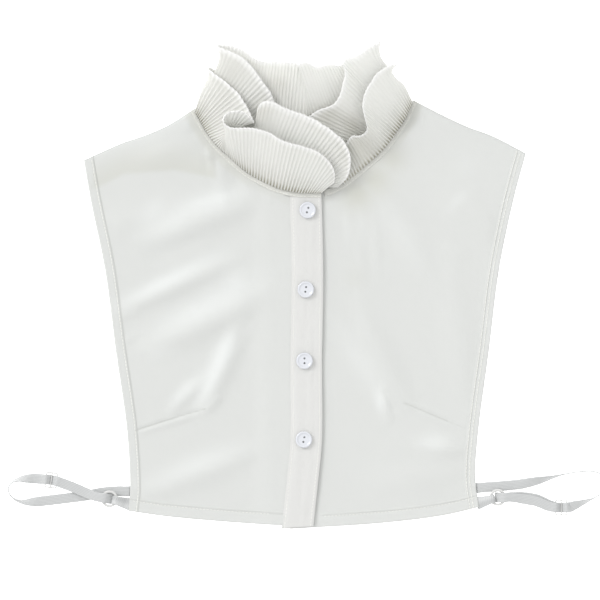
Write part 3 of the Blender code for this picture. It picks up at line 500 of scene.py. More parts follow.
def gridFaces(rows, columns):
    i, j = np.meshgrid(np.arange(rows - 1), np.arange(columns - 1), indexing="ij")
    a = (i * columns + j).ravel()
    return np.stack([a, a + 1, a + columns + 1, a + columns], axis=1).tolist()


def sweptFaces(rings, sides, closed=False):
    # faces between the rings of points along a sweep, with caps if it is open
    faces = []
    for i in range(rings if closed else rings - 1):
        here, after = i * sides, (i + 1) % rings * sides
        faces += [[here + k, here + (k + 1) % sides, after + (k + 1) % sides, after + k] for k in range(sides)]
    if not closed:
        faces += [list(range(sides))[::-1], [(rings - 1) * sides + k for k in range(sides)]]
    return faces


def clothSheet(name, grid, material, thickness):
    # thin cloth on a grid of points, given its thickness by a modifier
    made = newObject(name, grid.reshape(-1, 3), gridFaces(*grid.shape[:2]), material)
    solid = made.modifiers.new("clothThickness", "SOLIDIFY")
    solid.thickness = thickness * mm
    solid.offset = 0.0
    return made


def addAttribute(made, label, values):
    layer = made.data.attributes.new(label, "FLOAT", "POINT")
    layer.data.foreach_set("value", np.asarray(values, np.float32).ravel())


def finishPiece(piece, slot, *nodes):
    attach(piece, "root")
    if nodes:
        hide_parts(*nodes)
    return piece


cut = {
    "armholeLeft": (
        (-143, -181), (-141.5, -164.5), (-144, -116.5), (-153, -52.5), (-161.5, 11.5), (-173, 67.5), (-178.5, 99.5),
    ),
    "armholeRight": (
        (137.5, -178), (134.5, -154.5), (137, -116.5), (145.5, -52.5), (153.5, 11.5), (165, 67.5), (175, 105),
    ),
    "shoulderLeft": ((-178.5, 99.5), (-149.5, 112.5), (-130.5, 119), (-111, 127.5), (-89.5, 141)),
    "shoulderRight": ((175, 105), (148, 119), (129, 126), (109.5, 135), (85, 147.5)),
    "hemLeft": ((-143, -181), (-111, -185.5), (-53.5, -190.5), (5, -194)),
    "hemRight": ((137.5, -178), (109.5, -184.5), (61.5, -190.5), (-13.5, -195.5)),
    "centreFront": ((5, -194), (9, -156.5), (12, -124.5), (12, -60.5), (13, 10.5), (11.5, 75)),
    "underlapEdge": ((-13.5, -195.5), (-14, -60), (-14.5, 75.2)),
    "neckLeft": (
        (11.5, 75.2), (-5.5, 75.4), (-15, 77), (-26.5, 80.5), (-37.5, 86), (-47, 91.5), (-61, 103.5), (-73, 115.5),
        (-81.5, 128.5), (-88, 140.5),
    ),
    "neckRight": (
        (82.5, 147.5), (77.5, 135.5), (69.5, 123), (60, 110), (48, 99), (34.5, 87.5), (28, 82.8), (14, 76.5),
        (-14.5, 75.2),
    ),
    "neckBack": ((-86.5, 142.5), (-74.5, 139.5), (-36, 133), (9, 132), (53.5, 138.5), (82.5, 147.5)),
}
levels = {"back": 0.0, "front": 1.3, "overlap": 2.6, "placket": 3.9, "stepStart": -46.0, "stepLength": 18.0}
softFolds = (  # from x, y, to x, y, half width, height
    (-172, 43, -112, 58, 13, 1.6), (-134, 34, -38, 68, 11.5, 3.7), (-156, -24, -56, 20, 7.5, 2.8),
    (-132, -54, -20, -4, 12, 4), (-82, -102, -54, -34, 9, 3.6), (-110, -103, -80, -73, 5.5, 1.7),
    (-132, -168, -36, -132, 10, 2.6), (-138, 98, -92, 110, 11, 1.6), (-70, 96, -66, 64, 6, 1),
    (106, 86, 162, 28, 12, 1.9), (58, 80, 104, -4, 11, 2.2), (38, -16, 80, -94, 11, 2.9),
    (61, -80, 66, -110, 5, 1.7), (114, 24, 126, -88, 13, 1.9), (88, -128, 128, -134, 7, 2.2),
    (38, 62, 44, 14, 4.5, 0.8), (54, 56, 58, 8, 4, 0.6), (50, -162, 124, -150, 13, 1.6),
)
foldCalm = {"centre": 20.0, "centreFade": 40.0, "outline": 18.0}
creases = (  # from x, y, to x, y, half width, height, how far one side is steeper
    (-136.5, -116.5, -106.5, -106.8, 1, -0.75, 0), (-106.5, -106.8, -82, -99.6, 0.9, -0.6, 0),
    (-136, -119.2, -82, -102.2, 2, 0.8, 0.4), (-81, -101, -68, -88, 3, 0.7, 0.4),
    (77, -94.4, 124.5, -114.4, 0.8, -0.35, 0), (77, -97, 120, -115.6, 2.2, 0.45, 0.3),
    (80, -92.6, 116, -108, 1.6, 0.25, 0.3), (62, -84, 71, -104, 1.8, -0.7, 0.3),
    (-78.7, 110.7, -74.6, 87.5, 1.4, 0.55, 0.3), (-82.6, 104, -80, 84, 1.2, -0.35, 0.3),
    (93.6, 139.5, 93.6, 129, 1.2, 0.45, 0.3), (-128, 18, -80, 40, 6, -0.6, 0), (-60, 70, -92, 62, 3.5, 0.6, 0),
    (-150, -27, -132, -20, 3, 0.6, 0.3), (-146, -45, -134, -38, 3, 0.5, 0.3), (-140, -160, -100, -168, 5, 0.35, 0),
    (-96, -20, -60, -34, 5, 0.45, 0), (-60, -60, -40, -30, 4, 0.4, 0), (60, -130, 120, -134, 8, 0.4, 0),
    (108, 30, 132, 20, 5, 0.4, 0), (40, 20, 50, -60, 7, 0.4, 0),
)
# painted shade along the pressed dart grooves
dartGrooveShade = (  # from x, y, to x, y, half width, amount
    (-136.5, -116.5, -106.5, -106.8, 0.6, 0.5), (-106.5, -106.8, -82, -99.6, 0.5, 0.35),
    (77, -94.4, 112, -109.2, 0.5, 0.4), (112, -109.2, 126, -115, 0.5, 0.15),
)
# painted shadow: the shadows list darkens spots under the ruffle and in a fold of the right front, as x, y, reach,
# amount
layersAndShadows = {  # where a layer beneath shows through: lines in x, y, and how far it fades
    "yoke": ((-176, 74), (-171.6, 75.6), (-146.4, 88.4), (-106.4, 91.6), (-81.6, 86.8), (-70, 84)),
    "yokeFade": 30, "yokeAmount": 0.5, "neckReach": 11, "neckAmount": 0.4,
    "shadows": ((40, 72, 13, 0.75), (54, 84, 13, 0.7), (67, 101, 12, 0.6), (39, 6, 9, 0.18)),
}
# painted highlight: streaks along the soft folds where the colour is painted paler
paintedHighlightSpread = {"amount": 0.62, "width": 1.35, "reach": 0.5, "ends": 6.0}
paintedHighlightStreaks = (  # from x, y, to x, y, half width, amount
    (-52, 73, -94, 61, 6.5, 0.9), (-94, 61, -126, 36, 9, 0.5), (-128, 62, -120, 56, 12, 0.45),
    (-76, 21, -144, -13, 4.5, 0.95), (-44, 0, -119, -36, 7.5, 0.75), (-60, 12, -56, -4, 8, 0.4),
    (-61, -40, -73, -69, 5, 0.95), (-73, -69, -86, -92, 4.5, 0.8), (-90, -76, -106, -94, 4, 0.6),
    (-54, -132, -119, -156, 7, 0.45), (-165, 104, -96, 134, 6, 0.5), (-120, -52, -118, -58, 9, 0.4),
    (94, -126, 111, -126, 5.5, 0.5), (30, 60, 32, 35, 2.2, 0.3), (42, 62, 45, 38, 2.4, 0.3),
    (26, -36, 60, -90, 6, 0.4), (56, -86, 59, -100, 3, 0.6), (119, 68, 121, 66, 9, 0.35), (66, 58, 92, 20, 8, 0.25),
    (120, 100, 134, 94, 8, 0.2),
)


def alongSegment(x, y, fromX, fromY, toX, toY):
    # share of the way along a segment, and the distance to one side of it
    span = (toX - fromX) ** 2 + (toY - fromY) ** 2
    share = ((x - fromX) * (toX - fromX) + (y - fromY) * (toY - fromY)) / span
    side = ((x - fromX) * (toY - fromY) - (y - fromY) * (toX - fromX)) / math.sqrt(span)
    return share, side


def fromSegment(x, y, fromX, fromY, toX, toY):
    # distance to the nearest point of a segment
    share, _ = alongSegment(x, y, fromX, fromY, toX, toY)
    held = np.clip(share, 0.0, 1.0)
    return np.hypot(x - fromX - held * (toX - fromX), y - fromY - held * (toY - fromY))


def paintedHighlightTone(x, y):
    # painted highlight: how much paler the colour is painted along soft folds of the satin-faced cloth, where they
    # would catch the light
    total = np.zeros(np.shape(x))
    for *ends, width, amount in paintedHighlightStreaks:
        length = math.hypot(ends[2] - ends[0], ends[3] - ends[1])
        share, side = alongSegment(x, y, *ends)
        along = bell((share - 0.5) * length, paintedHighlightSpread["reach"] * (length + paintedHighlightSpread["ends"]))
        total = total + amount * along * bell(side, paintedHighlightSpread["width"] * width)
    return np.clip(paintedHighlightSpread["amount"] * total, 0.0, 1.0)


def edgeCalm(x, y):
    # nothing at the outline and the neckline, one well inside the fronts
    sides = (
        cut["armholeLeft"], cut["shoulderLeft"], cut["neckLeft"][::-1], cut["neckRight"][::-1],
        cut["shoulderRight"][::-1], cut["armholeRight"][::-1], cut["hemRight"], cut["hemLeft"][::-1],
    )
    outline = np.concatenate([np.array(side) for side in sides])
    nearest = np.full(np.shape(x), np.inf)
    for start, end in zip(outline, np.roll(outline, -1, axis=0)):
        if math.dist(start, end) > 0:
            nearest = np.minimum(nearest, fromSegment(x, y, *start, *end))
    return smoothStep(nearest / foldCalm["outline"])


def foldHeight(x, y):
    # soft folds that narrow and sink towards their ends
    total = np.zeros(np.shape(x))
    for *ends, width, height in softFolds:
        share, _ = alongSegment(x, y, *ends)
        taper = np.cos(np.clip((share - 0.5) / 1.35, -0.5, 0.5) * math.pi) ** 1.5
        total = total + height * taper * bell(fromSegment(x, y, *ends), width * (0.6 + 0.4 * taper))
    return total * smoothStep((np.abs(x) - foldCalm["centre"]) / foldCalm["centreFade"]) * edgeCalm(x, y)


def creaseHeight(x, y):
    # pressed creases and darts: a ridge whose one side may fall more steeply
    total = np.zeros(np.shape(x))
    for *ends, width, height, steep in creases:
        share, side = alongSegment(x, y, *ends)
        fade = smoothStep(share / 0.15 + 0.2) * smoothStep((1.0 - share) / 0.3 + 0.1)
        fade = fade * (share > -0.03) * (share < 1.03)
        reach = np.where(side < 0, width * (1.0 - steep) + 0.35, width * (1.0 + steep))
        total = total + height * fade * bell(side, reach)
    return total


def dartGrooveShadeTone(x, y):
    # painted shade in the dart grooves
    total = np.zeros(np.shape(x))
    for *ends, width, amount in dartGrooveShade:
        share, side = alongSegment(x, y, *ends)
        total = np.maximum(total, amount * (share > -0.02) * (share < 1.02) * bell(side, width))
    return total


def neckDistance(x, y):
    line = np.concatenate([smoothRows(cut["neckLeft"], 4), smoothRows(cut["neckRight"], 4)])
    return np.min([np.hypot(x - px, y - py) for px, py in line], axis=0)


def layerAndShadowTone(x, y):
    # how much a second layer shows through the sheer front, with painted shadow where the ruffle and a fold shade it
    line = np.array(layersAndShadows["yoke"])
    above = y - np.interp(x, line[:, 0], line[:, 1])
    yoke = smoothStep(above / 4.0 + 0.5) * (1 - smoothStep(above / layersAndShadows["yokeFade"]))
    yoke = yoke * layersAndShadows["yokeAmount"] * (1 - smoothStep((x + 76.0) / 6.0)) * smoothStep((x + 176.0) / 10.0)
    neck = 1 - smoothStep((neckDistance(x, y) - layersAndShadows["neckReach"] + 2.0) / 4.0)
    tone = np.maximum(yoke, neck * layersAndShadows["neckAmount"] * (0.45 + 0.55 * smoothStep((y - 70.0) / 25.0)))
    # painted shadow spots
    for spotX, spotY, reach, amount in layersAndShadows["shadows"]:
        tone = np.maximum(tone, amount * bell(np.hypot(x - spotX, y - spotY), reach))
    return tone


neckGathers = {
    "height": 0.75, "rightShare": 0.45, "reach": 11.5, "fade": 4.6, "centreY": 150.0, "waves": 31.0, "calm": 24.0,
}


def gatherHeight(x, y):
    # small gathers where the neck seam holds the cloth, stronger on the left
    look = neckGathers
    around = np.arctan2(y - look["centreY"], x)
    waves = np.sin(look["waves"] * around + 2.2 * np.sin(7.0 * around)) * (0.65 + 0.35 * np.sin(17.0 * around + 1.0))
    side = np.where(x < 0, 1.0, look["rightShare"]) * smoothStep((np.abs(x) - look["calm"]) / 10.0)
    return look["height"] * side * waves * bell(neckDistance(x, y) - look["reach"], look["fade"])


def bandShares(total, hem, dense, count, extra=None):
    # shares of a length, close together in a hem and where extra asks for more
    places = np.linspace(0.0, total, 2000)
    weight = 1.0 + dense * (1.0 - smoothStep((places - hem) / 3.0))
    if extra is not None:
        weight = weight + extra(places)
    travel = np.concatenate([[0.0], np.cumsum((weight[1:] + weight[:-1]) / 2 * np.diff(places))])
    return np.interp(np.linspace(0.0, travel[-1], count), travel, places) / total


def coonsRow(sides, u, v, rightShare):
    # a row of points between four sides
    bottom, top, left, right = sides
    corners = (1 - u)[:, None] * (1 - v) * left[0] + u[:, None] * (1 - v) * right[0]
    corners = corners + (1 - u)[:, None] * v * left[-1] + u[:, None] * v * right[-1]
    alongV = (1 - u)[:, None] * atShares(left, [v])[0] + u[:, None] * atShares(right, [rightShare])[0]
    alongU = (1 - v) * atShares(bottom, u) + v * atShares(top, u)
    return alongV + alongU - corners


seamInset = 0.8  # from the neck seam to the edge of the cloth
frontLook = {
    "columns": 104, "rows": 176, "armholeHem": 7.5, "bottomHem": 9.5, "thickness": 0.45, "pucker": 0.05,
    "rowsInHem": 2.2, "columnsInHem": 1.8, "rowsAtDart": (1.8, 13.0),
}
frontLooks = {
    "frontLeft": {
        **frontLook, "side": "Left", "centre": "centreFront", "neck": cut["neckLeft"],
        "hemLift": 0.45, "dartLevel": -108.0, "seamTone": 0.5,
    },
    "frontRight": {
        **frontLook, "side": "Right", "centre": "underlapEdge", "neck": cut["neckRight"][::-1],
        "hemLift": 0.5, "dartLevel": -106.0, "seamTone": 0.12,
    },
}


def frontGrid(look):
    # points of a front, armhole to centre and hem to shoulder, and the distances from its hems
    left, bottom, top = (smoothRows(cut[part + look["side"]], 8) for part in ("armhole", "hem", "shoulder"))
    centre = smoothRows(cut[look["centre"]], 8)
    neck = shifted(smoothRows(look["neck"], 8), seamInset)
    right = np.concatenate([centre, neck[1:]])
    centreLength = lengthsAlong(centre)[-1]
    corner = centreLength / (centreLength + lengthsAlong(neck)[-1])
    amount, reach = look["rowsAtDart"]
    vValues = bandShares(
        lengthsAlong(left)[-1], look["bottomHem"], look["rowsInHem"], look["rows"],
        lambda places: amount * bell(left[0][1] + places - look["dartLevel"], reach),
    )
    cornerRow = int(round(np.interp(corner, vValues, np.arange(look["rows"]))))
    lowRows = vValues[: cornerRow + 1] / vValues[cornerRow]
    hemShare = bandShares(centreLength, look["bottomHem"], look["rowsInHem"], cornerRow + 1) * corner
    rightShares = np.concatenate(
        [0.5 * (hemShare + lowRows * corner), np.linspace(corner, 1.0, look["rows"] - cornerRow)[1:]]
    )
    rightShares[: cornerRow + 1] *= corner / rightShares[cornerRow]
    u = np.linspace(0.0, 1.0, 49)
    grid = np.zeros((look["rows"], look["columns"], 2))
    inward = np.zeros((look["rows"], look["columns"]))
    for i, v in enumerate(vValues):
        across = coonsRow((bottom, top, left, right), u, v, rightShares[i])
        width = lengthsAlong(across)[-1]
        shares = bandShares(width, look["armholeHem"], look["columnsInHem"], look["columns"])
        grid[i] = atShares(across, shares)
        inward[i] = shares * width
    hemLine = smoothRows(cut["hem" + look["side"]], 12)
    hemLine = hemLine if hemLine[0, 0] < hemLine[-1, 0] else hemLine[::-1]
    return grid, inward, grid[..., 1] - np.interp(grid[..., 0], hemLine[:, 0], hemLine[:, 1])


def hemRelief(distance, width, lift):
    # a folded hem: raised cloth, a pressed line at its stitching and a soft rolled edge
    raised = lift * (1.0 - smoothStep((distance - width) / 0.9))
    groove = -0.32 * bell(distance - width + 1.1, 0.55)
    ridge = 0.22 * bell(distance - width + 0.1, 0.5)
    edge = 0.18 * bell(distance - 0.9, 0.7) - 0.3 * bell(distance, 0.45)
    return raised + groove + ridge + edge


def buildFront(name, look, overlaps):
    grid, inward, upward = frontGrid(look)
    x, y = grid[..., 0], grid[..., 1]
    level = np.full(x.shape, levels["front"])
    if overlaps:
        step = smoothStep((x - levels["stepStart"]) / levels["stepLength"])
        level = level + (levels["overlap"] - levels["front"]) * step
    z = level + wall / 2 + foldHeight(x, y) + creaseHeight(x, y)
    calm = smoothStep((-12.0 - x) / 4.0) if overlaps else smoothStep((x - 9.0) / 6.0)
    hem = hemRelief(upward, look["bottomHem"], look["hemLift"]) * calm
    z = z + np.maximum(hemRelief(inward, look["armholeHem"], look["hemLift"]), hem)
    puckers = look["pucker"] * np.sin(upward * 1.5 + 3 * np.sin(upward * 0.13))
    z = z + puckers * bell(inward - look["armholeHem"], 2.4) + gatherHeight(x, y)
    points = np.stack([x, y, z], axis=-1)
    made = clothSheet(name, points, finish["frontChiffonPaintedLight"], look["thickness"])
    seam = look["seamTone"] * bell(inward - look["armholeHem"] - 0.3, 0.45)
    seam = np.maximum(seam, 0.3 * bell(upward - look["bottomHem"], 0.5) * calm)
    # painted highlight along the soft folds
    addAttribute(made, "highlight", paintedHighlightTone(x, y))
    # darker along the hem seams, with painted shade in the dart grooves
    addAttribute(made, "seam", np.maximum(seam, dartGrooveShadeTone(x, y)))
    # tint of a layer beneath, with painted shadow
    addAttribute(made, "layer", layerAndShadowTone(x, y))
    return points, made


frontPoints = {}
frontPoints["frontLeft"], frontLeft = buildFront("frontLeft", frontLooks["frontLeft"], True)
frontPoints["frontRight"], frontRight = buildFront("frontRight", frontLooks["frontRight"], False)
finishPiece(frontLeft, "chiffon", "front_left")
finishPiece(frontRight, "chiffon", "front_right")
print("fronts built")

backLook = {"inset": 1.3, "columns": 60, "rows": 70, "thickness": 0.45}


def buildBack(look):
    # the back lies flat, from the left armhole to the right one and from hem to neck
    left, right = smoothRows(cut["armholeLeft"], 8), smoothRows(cut["armholeRight"], 8)
    bottom = np.concatenate([smoothRows(cut["hemLeft"], 8), smoothRows(cut["hemRight"][:-1], 8)[::-1]])
    shoulders = smoothRows(cut["shoulderLeft"], 6)[:-1], smoothRows(cut["shoulderRight"], 6)[::-1]
    top = np.concatenate([shoulders[0], smoothRows(cut["neckBack"], 6), shoulders[1]])
    u = np.linspace(0.0, 1.0, look["columns"])
    rows = [coonsRow((bottom, top, left, right), u, v, v) for v in np.linspace(0.0, 1.0, look["rows"])]
    grid = np.array(rows)
    middle = grid.mean(axis=(0, 1))
    reach = np.linalg.norm(grid - middle, axis=2)[..., None]
    rim = np.zeros(grid.shape[:2])
    rim[0, :] = rim[-1, :] = rim[:, 0] = rim[:, -1] = look["inset"]
    grid = grid - (grid - middle) / np.maximum(reach, 1.0) * rim[..., None]
    z = np.full(grid.shape[:2], levels["back"] + wall / 2)
    return clothSheet("backPanel", np.dstack([grid, z]), finish["backChiffon"], look["thickness"])


back = finishPiece(buildBack(backLook), "chiffon", "back_panel")

placketLook = {
    "width": 25.5, "rows": 170, "columns": 44, "thickness": 0.5, "hem": 9.5,
    "streaks": ((3.6, 0.8, 1.6, 0.2), (9.0, 1.6, 2.4, 0.14), (17.0, 1.9, 2.6, 0.16), (22.0, 0.7, 1.6, 0.13)),
}


def buildPlacket(look):
    # the button band: a folded strip with a crisp right edge and a soft left fold
    edge = atShares(smoothRows(cut["centreFront"], 8), np.linspace(0.0, 1.0, look["rows"]))
    edge[0, 1] += 0.2
    u = np.linspace(0.0, 1.0, look["columns"])
    u = 0.5 - 0.5 * np.cos(u * math.pi) * (0.75 + 0.25 * np.abs(np.cos(u * math.pi)))
    x = edge[:, 0][:, None] - look["width"] * (1 - u)[None, :]
    y = edge[:, 1][:, None] + np.linspace(-1.6, 0.0, look["rows"])[:, None] * (1 - u)[None, :]
    fromRight = look["width"] * (1 - u)[None, :] + 0 * x
    fromLeft = look["width"] * u[None, :] + 0 * x
    z = levels["placket"] + wall / 2 - 0.95 * bell(fromLeft, 3.2) - 0.35 * bell(fromRight, 0.6)
    z = z + 0.2 * bell(fromRight - 1.6, 1.0) + 0.12 * bell(fromRight - 9.0, 2.5)
    z = z + 0.12 * np.sin(y / 9.0) * bell(fromRight, 7.0) + 0.1 * np.sin(y / 21.0 + x / 6.0)
    for place, drift, reach, height in look["streaks"]:
        middle = place + drift * np.sin(y / 34.0 + place)
        z = z + height * bell(fromRight - middle, reach) * (0.6 + 0.4 * np.sin(y / 19.0 + 2.0 * place))
    z = z - 0.25 * bell(y - y[0][None, :] - look["hem"], 0.6)
    points = np.stack([x, y, z], axis=-1)
    return points, clothSheet("placketBand", points, finish["placketPoplin"], look["thickness"])


placketPoints, placket = buildPlacket(placketLook)
finishPiece(placket, "placket_cloth", "placket")

bindingLook = {
    "width": 5.0, "columns": 17, "thickness": 0.35, "plump": 0.3, "groove": 0.1, "grooves": (0.22, 0.8), "sunk": 0.4,
}


def buildBinding(name, line, low, look):
    # narrow neck binding, rounded between two pressed lines
    seam = shifted(line, seamInset)
    outer = shifted(line, seamInset + look["width"])
    u = np.linspace(0.0, 1.0, look["columns"])
    grid = seam[None] + (outer - seam)[None] * u[:, None, None]
    shape = look["plump"] * np.sin(math.pi * u) ** 0.45
    for place in look["grooves"]:
        shape = shape - look["groove"] * bell(u - place, 0.09)
    along = lengthsAlong(line)
    twist = 0.09 * np.sin(along / 1.9) + 0.06 * np.sin(along / 0.83 + 1.0)
    z = low[None, :] - look["sunk"] + shape[:, None] + twist[None, :] * np.sin(math.pi * u)[:, None]
    points = np.dstack([grid, z])
    return points, clothSheet(name, points, finish["neckBinding"], look["thickness"])


def bindingLevels(line, overlaps):
    rest = np.full(len(line), levels["front"] + wall + seamGap)
    if not overlaps:
        return rest
    outer = shifted(line, seamInset + bindingLook["width"])
    placketEdge = cut["centreFront"][-1][0] - placketLook["width"]
    share = smoothStep((outer[:, 0] - (placketEdge - 7.0)) / 6.0)
    step = smoothStep((shifted(line, seamInset)[:, 0] - levels["stepStart"]) / levels["stepLength"])
    return rest + (levels["overlap"] - levels["front"]) * step + (levels["placket"] - levels["overlap"]) * share


neckLines = {
    "Left": atShares(smoothRows(cut["neckLeft"], 10), np.linspace(0, 1, 150)),
    "Right": atShares(smoothRows(cut["neckRight"], 10), np.linspace(0, 1, 190)),
}
neckLines["Right"] = neckLines["Right"][neckLines["Right"][:, 0] > cut["centreFront"][-1][0] + 1.0]
bindings, bindingPoints = {}, {}
for side, line in neckLines.items():
    low = bindingLevels(line, side == "Left")
    bindingPoints[side], bindings[side] = buildBinding("neckBinding" + side, line, low, bindingLook)
    finishPiece(bindings[side], "chiffon", "neck_band_" + side.lower())
print("placket and neck binding built")

tierLook = {
    "samples": 9, "thickness": 0.24, "rolledEdge": 1.1, "scallop": 0.5, "rise": 1.35, "wander": 0.35,
    "unevenness": 0.16, "depthShares": (0.0, 0.12, 0.4, 0.8, 1.0), "depths": (0.42, 0.36, 0.22, 0.2, 0.32),
    "skirt": (1.4, 7.5), "skirtLead": 1.2, "finestPitch": 1.8, "deepest": 1.9, "spine": 189, "brightEdge": (0.94, 0.02),
}
tierLooks = {
    "ruffleOuter": {
        **tierLook, "pleats": 154, "rows": 20, "profile": (-1.0, -0.35, 0.3, 0.7, 0.95, 1.0, 0.8, 0.4, -0.3),
        "tips": (  # edge x, y of a tip, reach, how far the tip flicks out, hollow below it
            (-79.0, 174.0, 7.0, (-2.0, 1.0, 1.0), (2.0, 0.0, 0.0)),
            (73.0, 176.5, 8.0, (1.6, 0.0, 1.0), (-6.5, 0.0, 1.0)),
        ),
    },
    "ruffleInner": {
        **tierLook, "pleats": 158, "rows": 21, "profile": (-1.0, -0.8, -0.45, 0.1, 0.8, 1.0, 0.5, -0.2, -0.75),
        "tips": (
            (-70.0, 191.5, 8.0, (-2.8, 0.6, 1.0), (2.6, 0.0, 0.0)),
            (58.5, 195.0, 8.0, (1.0, 0.4, 1.0), (-4.6, 0.0, 1.0)),
        ),
    },
}
calmPlaces = (  # x, y, radius, how much flatter the pleats lie there, less than 0 where they stand up
    (-58, 172, 16, 0.85), (-28, 131, 14, 0.7), (-9, 124, 13, 0.4), (-45, 113, 13, 0.5), (-33, 108, 9, 0.3),
    (4, 95.8, 9, 0.4), (2, 165, 12, 0.6), (14, 163, 14, 0.8), (12, 145, 12, 0.6), (-19, 175.6, 8, 0.4),
    (49.4, 175.4, 14, 0.7), (60.4, 152.2, 15, 0.7), (43.2, 108, 8, 0.4), (-68, 147, 20, -0.7), (-22, 152, 12, -0.3),
    (-45, 146, 10, -0.1), (18, 103, 12, -0.5), (72, 138, 14, -0.4), (30, 104, 10, -0.4),
)
shadedPlaces = (  # x, y, radius, how much darker
    (43, 108, 15, 0.4), (17, 134, 12, 0.35), (36, 128, 9, 0.35), (-36, 138, 8, 0.25), (-24, 160, 10, 0.2),
    (-60, 172, 16, 0.2), (-70, 150, 15, 0.1),
)
seamShift = {"outer": 1.8, "inner": -2.4, "outerBack": 2.4, "innerBack": -0.6}
outerFolds = {  # share of the seam, free edge x, y, z
    "left": (
        (0.00, 21.6, 81.5, 12), (0.04, 22.4, 90, 17), (0.08, 17.6, 98.8, 21.5), (0.14, 8, 106, 25),
        (0.22, -6.4, 110.8, 27.5), (0.31, -20.8, 115.6, 29.5), (0.41, -34.4, 122.8, 31.5),
        (0.49, -47.2, 125.2, 32.5), (0.56, -59.2, 124.4, 32), (0.62, -67.4, 129.6, 31), (0.67, -64, 137, 29),
        (0.71, -52.6, 138.6, 27.5), (0.75, -45, 133.5, 25.5), (0.79, -41.5, 128, 21.5), (0.84, -45.5, 138, 18),
        (0.89, -53.6, 150.8, 17), (0.95, -66.4, 162.8, 15.5), (1.00, -78.8, 173, 10),
    ),
    "back": (
        (0.02, -75.5, 172.5, 3.6), (0.14, -63, 167, 2.2), (0.28, -47, 164, 2.6), (0.42, -30, 163.5, 2.1),
        (0.56, -9, 163.5, 2.6), (0.70, 15, 165, 2.1), (0.84, 40, 168, 2.5), (0.97, 64, 173, 3.6),
    ),
    "right": (
        (0.00, 72, 176, 10), (0.07, 63.2, 174, 18), (0.15, 53.6, 166, 22), (0.24, 47.2, 155.6, 24),
        (0.33, 44.8, 144.4, 25), (0.42, 46.4, 132.4, 25), (0.51, 48, 122.5, 22.5), (0.60, 41, 118, 18),
        (0.70, 35.5, 118.5, 13.5), (0.80, 31.2, 113, 9.6), (0.91, 25.8, 105, 8), (1.00, 20.5, 98.6, 7.6),
    ),
}
innerFolds = {
    "left": (
        (0.00, 24, 77.6, 8.4), (0.04, 33, 86.5, 11.4), (0.08, 35, 101.5, 14.6), (0.13, 29.6, 114, 17.4),
        (0.19, 20, 122.8, 19.2), (0.26, 7.2, 130.8, 20), (0.34, -8, 137.2, 21.5), (0.41, -20.5, 142.2, 23),
        (0.45, -29, 147.2, 24), (0.49, -36.6, 145.4, 23.2), (0.53, -39.6, 139, 20.4), (0.58, -37, 133, 16),
        (0.63, -31.6, 132.6, 12.4), (0.69, -27.5, 139, 10.4), (0.76, -27, 150, 9.8), (0.82, -35.2, 162.8, 11),
        (0.88, -44, 174.8, 12.8), (0.94, -56, 184.4, 13.6), (0.98, -70.6, 190.6, 11.2),
    ),
    "back": (
        (0.06, -64, 192, 6.4), (0.13, -52, 189, 5.8), (0.22, -41, 180.5, 6), (0.29, -30.5, 179, 5.6),
        (0.37, -19, 178, 6), (0.43, -9, 177, 5.2), (0.475, -1.5, 174.8, 5.8), (0.505, -0.6, 173.4, 8),
        (0.535, -6.6, 174.4, 10.2), (0.56, -7, 177.2, 10.8), (0.60, 0, 178.4, 10), (0.65, 8, 174.2, 8.8),
        (0.71, 16.5, 177, 7.4), (0.78, 25, 175.5, 8.2), (0.85, 34.5, 177, 6.6), (0.89, 45, 183, 6),
        (0.95, 53, 190.4, 6.2),
    ),
    "right": (
        (0.02, 59.4, 195.3, 11.2), (0.08, 48.8, 190, 15), (0.15, 38.4, 181.6, 16.2), (0.21, 28, 180, 17),
        (0.28, 30.2, 169.8, 17), (0.36, 27.6, 155.6, 17), (0.43, 20.6, 144, 14), (0.49, 8, 139, 10),
        (0.55, -1, 132.5, 8.2), (0.62, 4, 124, 7), (0.70, 11, 117, 6), (0.80, 15, 110.5, 5.4),
        (0.91, 15.4, 105, 4.6), (1.00, 12.6, 100.2, 4.4),
    ),
}
seamHeights = {
    "outerLeft": ((0, 7.8), (0.21, 7.8), (0.30, 6.6), (0.60, 5.6), (0.85, 9.6), (1, 7.2)),
    "outerBack": ((0, 4), (0.1, 2), (0.9, 2), (1, 4)),
    "outerRight": ((0, 7.2), (0.15, 9.6), (0.4, 5.2), (1, 4.8)),
    "innerLeft": ((0, 4.8), (0.2, 4.4), (0.5, 3.6), (0.86, 8.2), (1, 7)),
    "innerBack": ((0, 4.6), (0.1, 4.5), (0.9, 4.5), (1, 4.6)),
    "innerRight": ((0, 7), (0.14, 8.2), (0.5, 3.4), (1, 2.9)),
}


def tierRows(tier, folds):
    # seam point and free-edge point of each fold, from front edge to front edge round the back
    found = []
    for side, neck in (("Left", cut["neckLeft"]), ("Back", cut["neckBack"]), ("Right", cut["neckRight"][:7])):
        seam = shifted(smoothRows(neck, 8), seamShift.get(tier + side, seamShift[tier]))
        shares, heights = np.array(seamHeights[tier + side]).T
        for share, *edge in folds[side.lower()]:
            found.append((*atShares(seam, [share])[0], np.interp(share, shares, heights), *edge))
    return found


def blurred(grid, spread):
    # smoothing along the columns, the ends held
    reach = int(3 * spread) + 1
    kernel = np.exp(-0.5 * (np.arange(-reach, reach + 1) / spread) ** 2)
    kernel /= kernel.sum()
    padded = np.pad(grid, ((0, 0), (reach, reach), (0, 0)), mode="edge")
    total = np.zeros_like(grid)
    for k, weight in enumerate(kernel):
        total += weight * padded[:, k : k + grid.shape[1]]
    total[:, 0], total[:, -1] = grid[:, 0], grid[:, -1]
    return total


